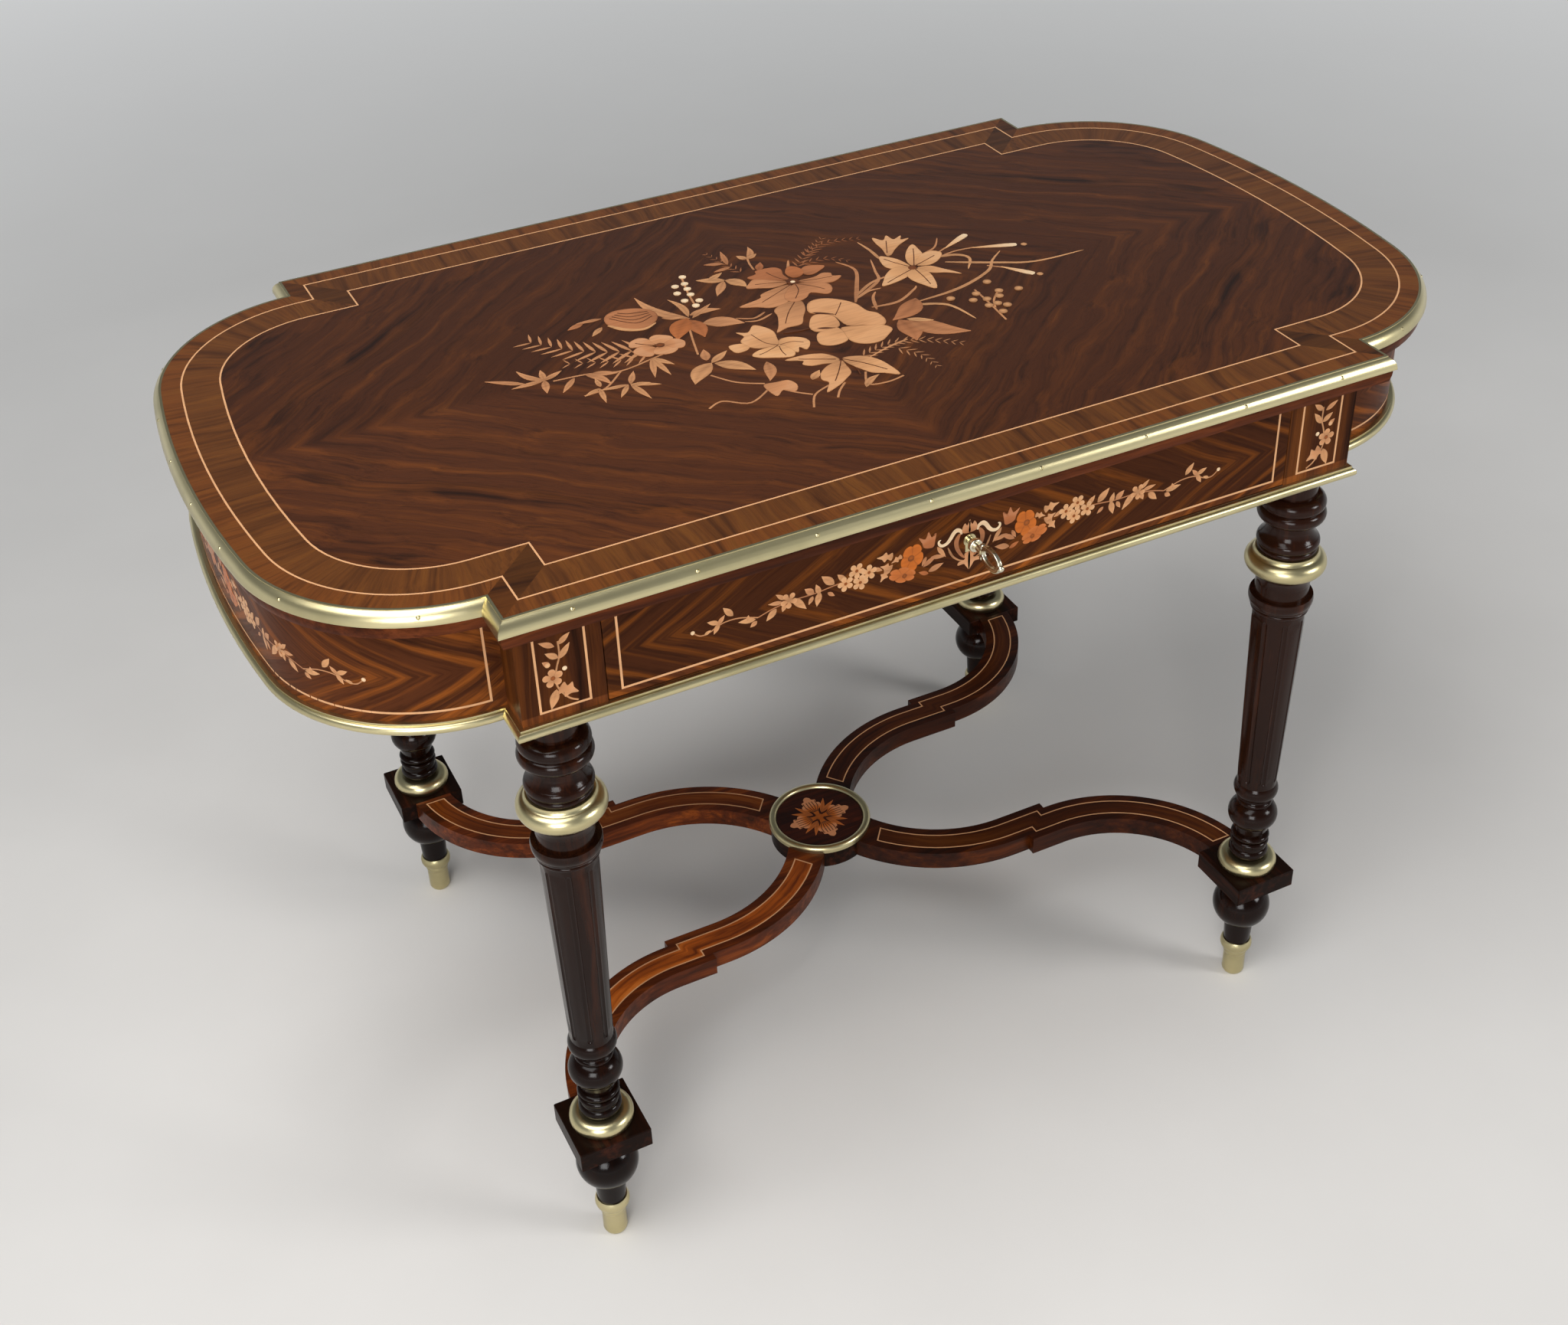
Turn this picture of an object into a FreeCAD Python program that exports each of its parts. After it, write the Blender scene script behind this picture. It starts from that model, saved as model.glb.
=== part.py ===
import FreeCAD, Part
import math
import os

# Centre table with a break-front marquetry top, a frieze drawer, turned legs and a serpentine stretcher.
# Millimetres. Origin on the floor under the middle of the top, +X along the length, drawer facing -Y.

# Overall heights
table_height = 750.0
top_thickness = 24.0
apron_height = 102.0
stretcher_top = 154.0
stretcher_thickness = 20.0

# Plan of the wooden top: straight middle between steps, rounded lobe at each end
top_break_half = 396.0
top_front_half = 312.0
top_step = 34.0
lobe_length = 158.0
top_corner_radius = 152.0
top_bow_radius = 1016.0
overhang_front = 18.0
overhang_break = 8.0
overhang_end = 5.5
apron_corner_radius = 144.0
apron_bow_radius = 1010.0

# Veneers laid on the top board
veneer_thickness = 1.0
outer_string_inset = 17.0
inner_string_inset = 50.0
string_width = 1.6

# Brass edge of the top and the wooden moulding under it
edge_brass_height = 12.0
edge_brass_depth = 8.5
edge_brass_lip = 2.2
edge_brass_quirk = 1.0
edge_brass_fillet = 1.4
edge_brass_swell = 1.5
under_moulding_depth = 6.2
under_moulding_foot = 4.6
under_moulding_belly = 6.0

# Brass pins through the edge moulding
pin_shank_radius = 0.9
pin_head_radius = 1.7
pin_head_height = 1.0
pin_head_sink = 0.3
pin_length = 16.0
pins_along_front = 8
pins_along_bow = 4
pins_along_corner = 2

# Brass moulding along the foot of the apron
foot_brass_height = 10.0
foot_brass_depth = 7.0
foot_brass_fillet_height = 2.0
foot_brass_fillet_depth = 3.5

# Apron frame
pilaster_width = 69.5
post_depth = 60.0
panel_thickness = 20.0
rail_depth = 40.0
bottom_rail_height = 10.5
top_rail_height = 9.0
tenon_length = 14.0
tenon_shoulder = 2.5
panel_tenon_shoulder = 12.0
panel_tenon_thickness = 10.0
rail_tenon_inset = 10.0
joint_clearance = 0.15
pin_clearance = 0.05
mitre_gap = 0.1

# Drawer and what guides it
drawer_gap = 0.8
drawer_front_gap = 1.0
slide_clearance = 0.3
drawer_front_thickness = 20.0
drawer_rear_room = 68.0
drawer_side_thickness = 10.0
drawer_lap = 12.0
drawer_back_thickness = 10.0
drawer_back_drop = 6.0
drawer_bottom_thickness = 6.0
drawer_bottom_rise = 9.0
drawer_groove = 5.0
runner_width = 30.0
guide_thickness = 12.0
guide_height = 26.0
kicker_width = 20.0
kicker_height = 22.0
kicker_gap = 1.5
stop_length = 20.0
stop_height = 15.0

# Lock, keyhole and key
lock_width = 60.0
lock_height = 46.0
lock_inset = 12.0
lock_wall = 1.5
lock_plate_thickness = 2.0
lock_plate_margin = 8.0
lock_screw_radius = 1.5
lock_screw_head_radius = 3.0
lock_screw_head_height = 1.4
lock_screw_length = 9.0
lock_screw_inset = 4.0
bolt_width = 20.0
bolt_thickness = 5.0
bolt_height = 23.0
bolt_throw = 8.0
bolt_mortise_room = 0.6
key_drop = 36.5
key_stem_radius = 3.0
key_clearance = 0.3
key_bit_reach = 8.0
key_bit_thickness = 2.6
key_bit_length = 6.0
key_collar_radius = 6.0
key_collar_length = 5.0
key_collar_offset = 6.0
key_neck_length = 20.0
key_bow_length = 30.0
key_bow_width = 20.0
key_bow_thickness = 4.0
key_bow_rim = 4.5
key_bow_round = 1.0
key_collar_round = 1.6
key_ball_radius = 2.8
escutcheon_rim = 2.4
escutcheon_depth = 2.0
escutcheon_proud = 0.5

# Legs: where they stand and their joints
leg_inset_end = 31.0
leg_inset_front = 28.0
leg_spigot_radius = 12.0
leg_spigot_length = 45.0
leg_dowel_radius = 10.0
leg_dowel_length = 44.0
turning_clearance = 0.2

# Turned members of the leg, from the apron downwards
leg_head_radius = 21.0
leg_head_height = 22.0
torus_height = 14.0
torus_radius = 29.8
quirk_radius = 27.8
lower_torus_height = 13.0
lower_torus_radius = 31.2
lower_torus_foot_radius = 22.4
cove_height = 18.0
cove_radius = 21.6
cove_foot_radius = 26.4
shoulder_height = 10.0
shoulder_radius = 28.8
shoulder_foot_radius = 26.2
ring_height = 5.0
ring_radius = 27.4
ring_foot_radius = 26.0
collar_height = 20.0
collar_seat_radius = 24.0
flare_radius = 31.5
flare_height = 16.0
flare_waist_radius = 26.6
neck_height = 13.0
neck_radius = 25.0
astragal_edge_radius = 29.2
astragal_height = 10.0
astragal_radius = 30.0
astragal_foot_radius = 28.6
astragal_turn_height = 4.0
astragal_turn_radius = 28.2
astragal_quirk_radius = 25.8
shaft_bead_height = 4.0
shaft_bead_radius = 27.0
shaft_top_radius = 24.8
shaft_foot_radius = 19.4
foot_ring_height = 16.0
foot_ring_radius = 22.0
foot_ring_edge = 19.0
ball_cove_height = 6.0
ball_cove_radius = 15.0
ball_bead_height = 5.0
ball_bead_radius = 17.5
ball_height = 26.0
ball_radius = 24.5
ball_edge_radius = 16.0
ball_fillet_radius = 19.0
taper_height = 11.0
waist_height = 12.0
waist_radius = 14.6
bead_height = 12.0
bead_radius = 17.6
base_height = 21.0
base_radius = 16.0

# Long grooves that divide the shaft into reeds
reed_count = 8
reed_groove_radius = 3.4
reed_groove_sink = 1.4
reed_margin = 9.0

# Brass collar below the leg head and brass cup on the stretcher block
collar_bead_radius = 37.5
collar_lip_radius = 28.6
collar_lip_height = 5.0
collar_hollow_radius = 29.0
collar_quirk_radius = 32.0
collar_foot_radius = 34.5
cup_height = 14.0
cup_radius = 29.4
cup_foot_radius = 27.0
cup_lip_radius = 19.5

# Bun foot, ankle and brass ferrule
foot_neck_height = 17.0
foot_neck_radius = 20.0
foot_neck_waist = 18.0
bun_height = 42.0
bun_radius = 29.0
ankle_top_radius = 15.0
ankle_foot_radius = 13.0
ferrule_height = 47.5
ferrule_collar_height = 12.0
ferrule_collar_radius = 16.4
ferrule_lip_radius = 14.4
ferrule_seat_depth = 9.0
ferrule_body_radius = 11.4
ferrule_ring_radius = 12.6
ferrule_ring_height = 8.0
ferrule_tip_height = 7.0
ferrule_tip_radius = 9.4
ferrule_floor = 10.0
foot_tenon_radius = 8.0

# Stretcher: square blocks, serpentine arms and round hub
block_half = 34.2
block_edge_round = 1.2
arm_half_width = 19.0
arm_run_y = 108.0
arm_run_length = 56.0
arm_break = 8.0
arm_break_slant = 36.0
arm_break_shift = 7.0
arm_outer_radius = 135.0
arm_root_radius = 36.0
arm_root_angle = 41.8
arm_tenon_width = 18.0
arm_tenon_thickness = 8.0
arm_tenon_length = 15.0
hub_radius = 52.0
hub_ring_outer = 54.0
hub_ring_inner = 46.0
hub_ring_height = 7.0
medallion_thickness = 4.0

# Places that follow from the sizes above
top_end_half = top_break_half + lobe_length
board_top = table_height - veneer_thickness
apron_top = table_height - top_thickness
apron_bottom = apron_top - apron_height
edge_brass_foot = table_height - edge_brass_height
apron_break_half = top_break_half - overhang_break
apron_front = top_front_half - overhang_front
opening_half = apron_break_half - pilaster_width
leg_x = apron_break_half - leg_inset_end
leg_y = apron_front - leg_inset_front
stretcher_bottom = stretcher_top - stretcher_thickness
runner_top = apron_bottom + bottom_rail_height
rail_bottom = apron_top - top_rail_height
drawer_half = opening_half - drawer_gap
drawer_front_bottom = runner_top + drawer_front_gap
drawer_front_top = rail_bottom - drawer_front_gap
drawer_side_bottom = runner_top + slide_clearance
drawer_side_top = apron_top - kicker_height - kicker_gap
drawer_front_back = drawer_front_thickness - apron_front
drawer_inner_half = drawer_half - drawer_side_thickness
drawer_floor = drawer_side_bottom + drawer_bottom_rise + drawer_bottom_thickness
panel_back = apron_front - panel_thickness
drawer_rear = panel_back - drawer_rear_room
key_axis_z = drawer_front_top - key_drop
lock_front = drawer_front_back - lock_inset
bolt_y = lock_front + lock_inset / 2
UP = FreeCAD.Vector(0, 0, 1)
ORIGIN = FreeCAD.Vector(0, 0, 0)


def vec(x, y, z=0.0):
    return FreeCAD.Vector(x, y, z)


def box(x0, x1, y0, y1, z0, z1):
    return Part.makeBox(x1 - x0, y1 - y0, z1 - z0, vec(x0, y0, z0))


def cylinder(radius, height, x, y, z, axis=UP):
    return Part.makeCylinder(radius, height, vec(x, y, z), axis)


def line(a, b):
    return Part.LineSegment(a, b).toShape()


def arc(a, middle, b):
    return Part.Arc(a, middle, b).toShape()


def outline_of(points):
    return [line(a, b) for a, b in zip(points, points[1:] + points[:1])]


def prism(edges, z0, z1):
    face = Part.Face(Part.Wire(edges))
    face.translate(vec(0, 0, z0))
    return face.extrude(vec(0, 0, z1 - z0))


def turned_about(shape, degrees):
    copy = shape.copy()
    copy.rotate(ORIGIN, UP, degrees)
    return copy


def in_quarter(shape, side, depth):
    """The shape modelled at +X +Y, mirrored to the side and depth given as -1 or 1."""
    copy = shape.copy()
    if side < 0:
        copy = copy.mirror(ORIGIN, vec(1, 0, 0))
    if depth < 0:
        copy = copy.mirror(ORIGIN, vec(0, 1, 0))
    return copy


def moved(shape, x, y, z=0.0):
    copy = shape.copy()
    copy.translate(vec(x, y, z))
    return copy


def joined(shapes):
    return shapes[0].fuse(shapes[1:]).removeSplitter()


def write(node, *solids):
    """One file for the node, which holds one solid or a group of like solids."""
    shape = solids[0] if len(solids) == 1 else Part.makeCompound(list(solids))
    if not shape.isValid():
        raise ValueError(node + " is not a valid shape")
    shape.exportStep("parts/" + node + ".step")


class Plan:
    """Break-front outline: a straight middle between steps and a rounded lobe at each end."""

    def __init__(self, break_half, front_half, step, end_half, corner_radius, bow_radius):
        self.break_half = break_half
        self.front_half = front_half
        self.lobe_half = front_half - step
        self.corner_radius = corner_radius
        self.bow_radius = bow_radius
        self.corner_y = self.lobe_half - corner_radius
        self.bow_x = end_half - bow_radius
        reach = bow_radius - corner_radius
        self.corner_x = self.bow_x + math.sqrt(reach ** 2 - self.corner_y ** 2)
        self.turn = math.atan2(self.corner_y, self.corner_x - self.bow_x)

    def lobe_y(self, x, inset):
        """Half depth of the lobe at x, on the outline drawn in by inset."""
        if x <= self.corner_x:
            return self.lobe_half - inset
        return self.corner_y + math.sqrt((self.corner_radius - inset) ** 2 - (x - self.corner_x) ** 2)

    def lobe_edges(self, inset, start_x):
        """Edges of the +X lobe from its front to its back, starting and ending at start_x."""
        radius = self.corner_radius - inset
        bow = self.bow_radius - inset
        y = self.lobe_y(start_x, inset)
        arc_x = max(start_x, self.corner_x)
        first = math.atan2(y - self.corner_y, arc_x - self.corner_x)
        half = (first + self.turn) / 2
        middle = vec(self.corner_x + radius * math.cos(half), self.corner_y + radius * math.sin(half))
        join = vec(self.bow_x + bow * math.cos(self.turn), bow * math.sin(self.turn))
        start = vec(arc_x, y)
        back = [arc(join, middle, start)]
        front = [arc(vec(start.x, -y), vec(middle.x, -middle.y), vec(join.x, -join.y))]
        if start_x < self.corner_x:
            front.insert(0, line(vec(start_x, -y), vec(arc_x, -y)))
            back.append(line(start, vec(start_x, y)))
        bow_edge = arc(vec(join.x, -join.y), vec(self.bow_x + bow, 0), join)
        return front + [bow_edge] + back

    def outline(self, inset):
        """Closed outline drawn in by inset on every side."""
        x = self.break_half - inset
        y = self.front_half - inset
        lobe_y = self.lobe_y(x, inset)
        half = [line(vec(-x, -y), vec(x, -y)), line(vec(x, -y), vec(x, -lobe_y))]
        half += self.lobe_edges(inset, x)
        half.append(line(vec(x, lobe_y), vec(x, y)))
        return Part.Wire(half + [turned_about(edge, 180) for edge in half])

    def sheet(self, outer_inset, z0, z1, inner_inset=None):
        """Flat sheet, or flat frame where an inner inset is given."""
        face = Part.Face(self.outline(outer_inset))
        if inner_inset is not None:
            face = face.cut(Part.Face(self.outline(inner_inset)))
        face.translate(vec(0, 0, z0))
        return face.extrude(vec(0, 0, z1 - z0))

    def front_run(self, profile, depth, z0, z1):
        """Straight length of moulding along the front, mitred at both steps."""
        x = self.break_half - mitre_gap
        y = self.front_half
        corners = [vec(-x, -y), vec(x, -y), vec(x + depth, -y - depth), vec(-x - depth, -y - depth)]
        section = profile(lambda u, z: vec(-x - depth, -y - u, z))
        bar = Part.Face(Part.Wire(section)).extrude(vec(2 * (x + depth), 0, 0))
        return bar.common(prism(outline_of(corners), z0, z1))

    def end_run(self, profile, depth, z0, z1):
        """Length of moulding round the +X lobe with its two short step returns."""
        x = self.break_half
        y = self.front_half
        lobe_y = self.lobe_y(x, 0)
        corners = [vec(x, -y), vec(x, -lobe_y), vec(x + depth, -lobe_y), vec(x + depth, -y - depth)]
        section = Part.Face(Part.Wire(profile(lambda u, z: vec(x + u, -y - depth, z))))
        bar = section.extrude(vec(0, y + depth - lobe_y, 0))
        pieces = [bar.common(prism(outline_of(corners), z0, z1))]
        centre = vec(self.corner_x, -self.corner_y)
        section = Part.Face(Part.Wire(profile(lambda u, z: centre + vec(0, -self.corner_radius - u, z))))
        corner = section.revolve(centre, UP, 90 - math.degrees(self.turn))
        if x < self.corner_x:
            section = Part.Face(Part.Wire(profile(lambda u, z: vec(x, -self.lobe_half - u, z))))
            pieces.append(section.extrude(vec(self.corner_x - x, 0, 0)))
        else:
            corner = corner.common(box(x, x + 2 * self.corner_radius, -y, 0, z0, z1))
        pieces.append(corner)
        pieces += [piece.mirror(ORIGIN, vec(0, 1, 0)) for piece in pieces]
        start = vec(math.cos(self.turn), -math.sin(self.turn))
        section = profile(lambda u, z: vec(self.bow_x, 0, z) + start * (self.bow_radius + u))
        bow = Part.Face(Part.Wire(section)).revolve(vec(self.bow_x, 0), UP, 2 * math.degrees(self.turn))
        return joined([bow] + pieces)


top_plan = Plan(
    top_break_half,
    top_front_half,
    top_step,
    top_end_half,
    top_corner_radius,
    top_bow_radius,
)
apron_plan = Plan(
    apron_break_half,
    apron_front,
    top_step,
    top_end_half - overhang_end,
    apron_corner_radius,
    apron_bow_radius,
)


def turned(start_radius, start_z, members):
    """Solid of revolution on the Z axis, from start_z down.

    Each member is (height, radius at its middle or None for a straight side, radius at its foot).
    """
    edges = [line(vec(0, 0, start_z), vec(start_radius, 0, start_z))]
    here = vec(start_radius, 0, start_z)
    for height, middle_radius, foot_radius in members:
        there = vec(foot_radius, 0, here.z - height)
        if (there - here).Length < 1e-6:
            continue
        middle = vec(middle_radius or 0, 0, here.z - height / 2)
        bulge = abs(middle.x - (here.x + there.x) / 2)
        edges.append(line(here, there) if middle_radius is None or bulge < 1e-6 else arc(here, middle, there))
        here = there
    edges.append(line(here, vec(0, 0, here.z)))
    edges.append(line(vec(0, 0, here.z), vec(0, 0, start_z)))
    return Part.Face(Part.Wire(edges)).revolve(ORIGIN, UP, 360)


def edge_brass_ovolo():
    """Start, crown and end of the ovolo in the section of the brass edge, and the way its crown faces."""
    start = vec(edge_brass_lip, table_height - edge_brass_quirk)
    end = vec(edge_brass_depth, edge_brass_foot + edge_brass_fillet)
    chord = end - start
    facing = vec(-chord.y, chord.x).normalize()
    return start, (start + end) * 0.5 + facing * edge_brass_swell, end, facing


def edge_brass_profile(at):
    """Section of the brass edge: flat lip, quirk, broad ovolo and a square fillet below."""
    start, crown, end, _ = edge_brass_ovolo()
    points = [
        at(end.x, end.y),
        at(end.x, edge_brass_foot),
        at(0, edge_brass_foot),
        at(0, table_height),
        at(start.x, table_height),
        at(start.x, start.y),
    ]
    ovolo = arc(points[-1], at(crown.x, crown.y), points[0])
    return [line(a, b) for a, b in zip(points, points[1:])] + [ovolo]


def under_moulding_profile(at):
    """Section of the wooden moulding under the brass edge: a shallow swell that draws in at its foot."""
    foot = at(under_moulding_foot, apron_top)
    belly = at(under_moulding_belly, (edge_brass_foot + apron_top) / 2)
    top_outer = at(under_moulding_depth, edge_brass_foot)
    top_inner = at(0, edge_brass_foot)
    foot_inner = at(0, apron_top)
    return [
        line(foot, foot_inner),
        line(foot_inner, top_inner),
        line(top_inner, top_outer),
        arc(top_outer, belly, foot),
    ]


def foot_brass_profile(at):
    """Section of the brass along the foot of the apron: square fillet over an ovolo."""
    z_top = apron_bottom + foot_brass_height
    z_fillet = z_top - foot_brass_fillet_height
    points = [
        at(foot_brass_fillet_depth, apron_bottom),
        at(0, apron_bottom),
        at(0, z_top),
        at(foot_brass_fillet_depth, z_top),
        at(foot_brass_fillet_depth, z_fillet),
    ]
    ovolo = arc(points[-1], at(foot_brass_depth, (z_fillet + apron_bottom) / 2), points[0])
    return [line(a, b) for a, b in zip(points, points[1:])] + [ovolo]


def pin_places():
    """Point on the wooden edge and outward direction of each pin."""
    places = []
    spacing = 2 * top_break_half / pins_along_front
    for index in range(pins_along_front):
        x = -top_break_half + (index + 0.5) * spacing
        places.append((vec(x, -top_front_half), vec(0, -1)))
    for index in range(pins_along_bow):
        turn = top_plan.turn * (2 * (index + 0.5) / pins_along_bow - 1)
        outward = vec(math.cos(turn), math.sin(turn))
        places.append((vec(top_plan.bow_x, 0) + outward * top_bow_radius, outward))
    for index in range(pins_along_corner):
        turn = top_plan.turn + (math.pi / 2 - top_plan.turn) * (index + 0.5) / pins_along_corner
        for depth in (-1, 1):
            outward = vec(math.cos(turn), depth * math.sin(turn))
            centre = vec(top_plan.corner_x, depth * top_plan.corner_y)
            places.append((centre + outward * top_corner_radius, outward))
    opposite = [(vec(-place.x, -place.y), vec(-outward.x, -outward.y)) for place, outward in places]
    return places + opposite


def set_square(shape, place, outward):
    """The shape modelled along +Z, set square to the crown of the brass edge."""
    _, crown, _, facing = edge_brass_ovolo()
    direction = outward * facing.x + UP * facing.y
    seat = place + outward * crown.x + UP * crown.y - direction * pin_head_sink
    copy = shape.copy()
    copy.Placement = FreeCAD.Placement(seat, FreeCAD.Rotation(UP, direction))
    return copy


def edge_pins():
    """Pins with domed heads, driven through the brass edge into the board."""
    dome_radius = (pin_head_radius ** 2 + pin_head_height ** 2) / (2 * pin_head_height)
    dome_centre = pin_head_height - dome_radius
    half = math.asin(pin_head_radius / dome_radius) / 2
    dome_middle = vec(dome_radius * math.sin(half), 0, dome_centre + dome_radius * math.cos(half))
    rim = vec(pin_head_radius, 0, 0)
    points = [rim, vec(pin_shank_radius, 0, 0), vec(pin_shank_radius, 0, -pin_length), vec(0, 0, -pin_length)]
    points.append(vec(0, 0, pin_head_height))
    section = [line(a, b) for a, b in zip(points, points[1:])] + [arc(points[-1], dome_middle, rim)]
    pin = Part.Face(Part.Wire(section)).revolve(ORIGIN, UP, 360)
    return [set_square(pin, place, outward) for place, outward in pin_places()]


def edge_pin_holes():
    shank = cylinder(pin_shank_radius + pin_clearance, pin_length + joint_clearance, 0, 0, 0, -UP)
    seat = cylinder(pin_head_radius + pin_clearance, edge_brass_depth, 0, 0, 0)
    hole = joined([shank, seat])
    return [set_square(hole, place, outward) for place, outward in pin_places()]


def build_top():
    pin_holes = edge_pin_holes()
    half_string = string_width / 2
    board = top_plan.sheet(0, apron_top, board_top).cut(pin_holes)
    write("top_board", board)
    bands = {
        "top_edge_band": (0, outer_string_inset - half_string),
        "top_crossband": (outer_string_inset + half_string, inner_string_inset - half_string),
        "top_field": (inner_string_inset + half_string, None),
    }
    for node, (outer, inner) in bands.items():
        write(node, top_plan.sheet(outer, board_top, table_height, inner))
    strings = []
    for inset in (outer_string_inset, inner_string_inset):
        strings.append(top_plan.sheet(inset - half_string, board_top, table_height, inset + half_string))
    write("top_strings", *strings)
    limits = (edge_brass_depth, edge_brass_foot, table_height)
    front = top_plan.front_run(edge_brass_profile, *limits)
    end = top_plan.end_run(edge_brass_profile, *limits)
    write("top_brass_front", front.cut(pin_holes))
    write("top_brass_back", turned_about(front, 180).cut(pin_holes))
    write("top_brass_right", end.cut(pin_holes))
    write("top_brass_left", turned_about(end, 180).cut(pin_holes))
    limits = (under_moulding_depth, apron_top, edge_brass_foot)
    front = top_plan.front_run(under_moulding_profile, *limits)
    end = top_plan.end_run(under_moulding_profile, *limits)
    write("under_moulding", front, turned_about(front, 180), end, turned_about(end, 180))
    write("moulding_pins", *edge_pins())


def rail_tenon(side, z0, z1, grow=0.0):
    """Tenon at one end of a front rail, or with grow the mortise for it."""
    tenon = box(
        opening_half,
        opening_half + tenon_length + grow,
        rail_tenon_inset - apron_front - grow,
        rail_depth - rail_tenon_inset - apron_front + grow,
        z0 + tenon_shoulder - grow,
        z1 - tenon_shoulder + grow,
    )
    return in_quarter(tenon, side, 1)


def panel_tenon_heights(grow):
    return apron_bottom + panel_tenon_shoulder - grow, apron_top - panel_tenon_shoulder + grow


def back_panel_tenon(side, grow=0.0):
    inset = (panel_thickness - panel_tenon_thickness) / 2
    z0, z1 = panel_tenon_heights(grow)
    y0 = panel_back + inset - grow
    y1 = apron_front - inset + grow
    return in_quarter(box(opening_half, opening_half + tenon_length + grow, y0, y1, z0, z1), side, 1)


def end_panel_tenon(side, depth, grow=0.0):
    inset = (panel_thickness - panel_tenon_thickness) / 2
    z0, z1 = panel_tenon_heights(grow)
    y0 = apron_plan.lobe_y(apron_break_half, panel_thickness) + inset - grow
    y1 = apron_plan.lobe_y(apron_break_half, 0) - inset + grow
    tenon = box(apron_break_half - tenon_length - grow, apron_break_half, y0, y1, z0, z1)
    return in_quarter(tenon, side, depth)


def build_post(side_name, side, depth_name, depth):
    """Corner post behind a pilaster, bored for the leg and mortised for the rails and panels."""
    y0 = apron_front - post_depth
    block = box(opening_half, apron_break_half, y0, apron_front, apron_bottom, apron_top)
    post = in_quarter(block, side, depth)
    bore_radius = leg_spigot_radius + turning_clearance
    bore_length = leg_spigot_length + turning_clearance
    cuts = [
        cylinder(bore_radius, bore_length, side * leg_x, depth * leg_y, apron_bottom),
        end_panel_tenon(side, depth, joint_clearance),
    ]
    if depth > 0:
        cuts.append(back_panel_tenon(side, joint_clearance))
    else:
        cuts.append(rail_tenon(side, apron_bottom, runner_top, joint_clearance))
        cuts.append(rail_tenon(side, rail_bottom, apron_top, joint_clearance))
    write("post_%s_%s" % (depth_name, side_name), post.cut(cuts))


def front_rail(z0, z1):
    body = box(-opening_half, opening_half, -apron_front, rail_depth - apron_front, z0, z1)
    return joined([body, rail_tenon(-1, z0, z1), rail_tenon(1, z0, z1)])


def build_apron():
    write("drawer_bottom_rail", front_rail(apron_bottom, runner_top))
    reach = bolt_width / 2 + bolt_mortise_room
    side_gap = bolt_thickness / 2 + bolt_mortise_room
    mortise = box(-reach, reach, bolt_y - side_gap, bolt_y + side_gap, rail_bottom, rail_bottom + bolt_throw)
    write("drawer_top_rail", front_rail(rail_bottom, apron_top).cut(mortise))
    panel = box(-opening_half, opening_half, panel_back, apron_front, apron_bottom, apron_top)
    write("back_panel", joined([panel, back_panel_tenon(-1), back_panel_tenon(1)]))
    outer = apron_plan.lobe_edges(0, apron_break_half)
    inner = apron_plan.lobe_edges(panel_thickness, apron_break_half)
    y_outer = apron_plan.lobe_y(apron_break_half, 0)
    y_inner = apron_plan.lobe_y(apron_break_half, panel_thickness)
    ends = []
    for side in (-1, 1):
        ends.append(line(vec(apron_break_half, side * y_outer), vec(apron_break_half, side * y_inner)))
    shell = prism(Part.__sortEdges__(outer + inner + ends), apron_bottom, apron_top)
    end = joined([shell, end_panel_tenon(1, -1), end_panel_tenon(1, 1)])
    write("end_panel_right", end)
    write("end_panel_left", turned_about(end, 180))
    limits = (foot_brass_depth, apron_bottom, apron_bottom + foot_brass_height)
    front = apron_plan.front_run(foot_brass_profile, *limits)
    end = apron_plan.end_run(foot_brass_profile, *limits)
    write("foot_brass_front", front)
    write("foot_brass_back", turned_about(front, 180))
    write("foot_brass_right", end)
    write("foot_brass_left", turned_about(end, 180))


def build_drawer_guides():
    front = rail_depth - apron_front
    post_clear = apron_front - post_depth
    kicker_x = drawer_half - kicker_width
    kickers = []
    stops = []
    for side_name, side in (("left", -1), ("right", 1)):
        flat = box(opening_half - runner_width, opening_half, front, panel_back, apron_bottom, runner_top)
        guide = box(
            opening_half,
            opening_half + guide_thickness,
            -post_clear,
            post_clear,
            apron_bottom,
            runner_top + guide_height,
        )
        write("drawer_runner_" + side_name, in_quarter(joined([flat, guide]), side, 1))
        kicker = box(kicker_x, drawer_half, front, panel_back, apron_top - kicker_height, apron_top)
        kickers.append(in_quarter(kicker, side, 1))
        stop_start = drawer_rear + slide_clearance
        stop_end = stop_start + stop_length
        stop = box(kicker_x, drawer_half, stop_start, stop_end, runner_top, runner_top + stop_height)
        stops.append(in_quarter(stop, side, 1))
    write("drawer_kickers", *kickers)
    write("drawer_stops", *stops)


def keyhole(grow, y0, y1):
    """Keyhole shape through the drawer front, wider than the key by grow."""
    radius = key_stem_radius + grow
    half_slot = key_bit_thickness / 2 + grow
    bore = cylinder(radius, y1 - y0, 0, y0, key_axis_z, vec(0, 1, 0))
    slot = box(-half_slot, half_slot, y0, y1, key_axis_z - key_bit_reach - grow, key_axis_z)
    return joined([bore, slot])


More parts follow.
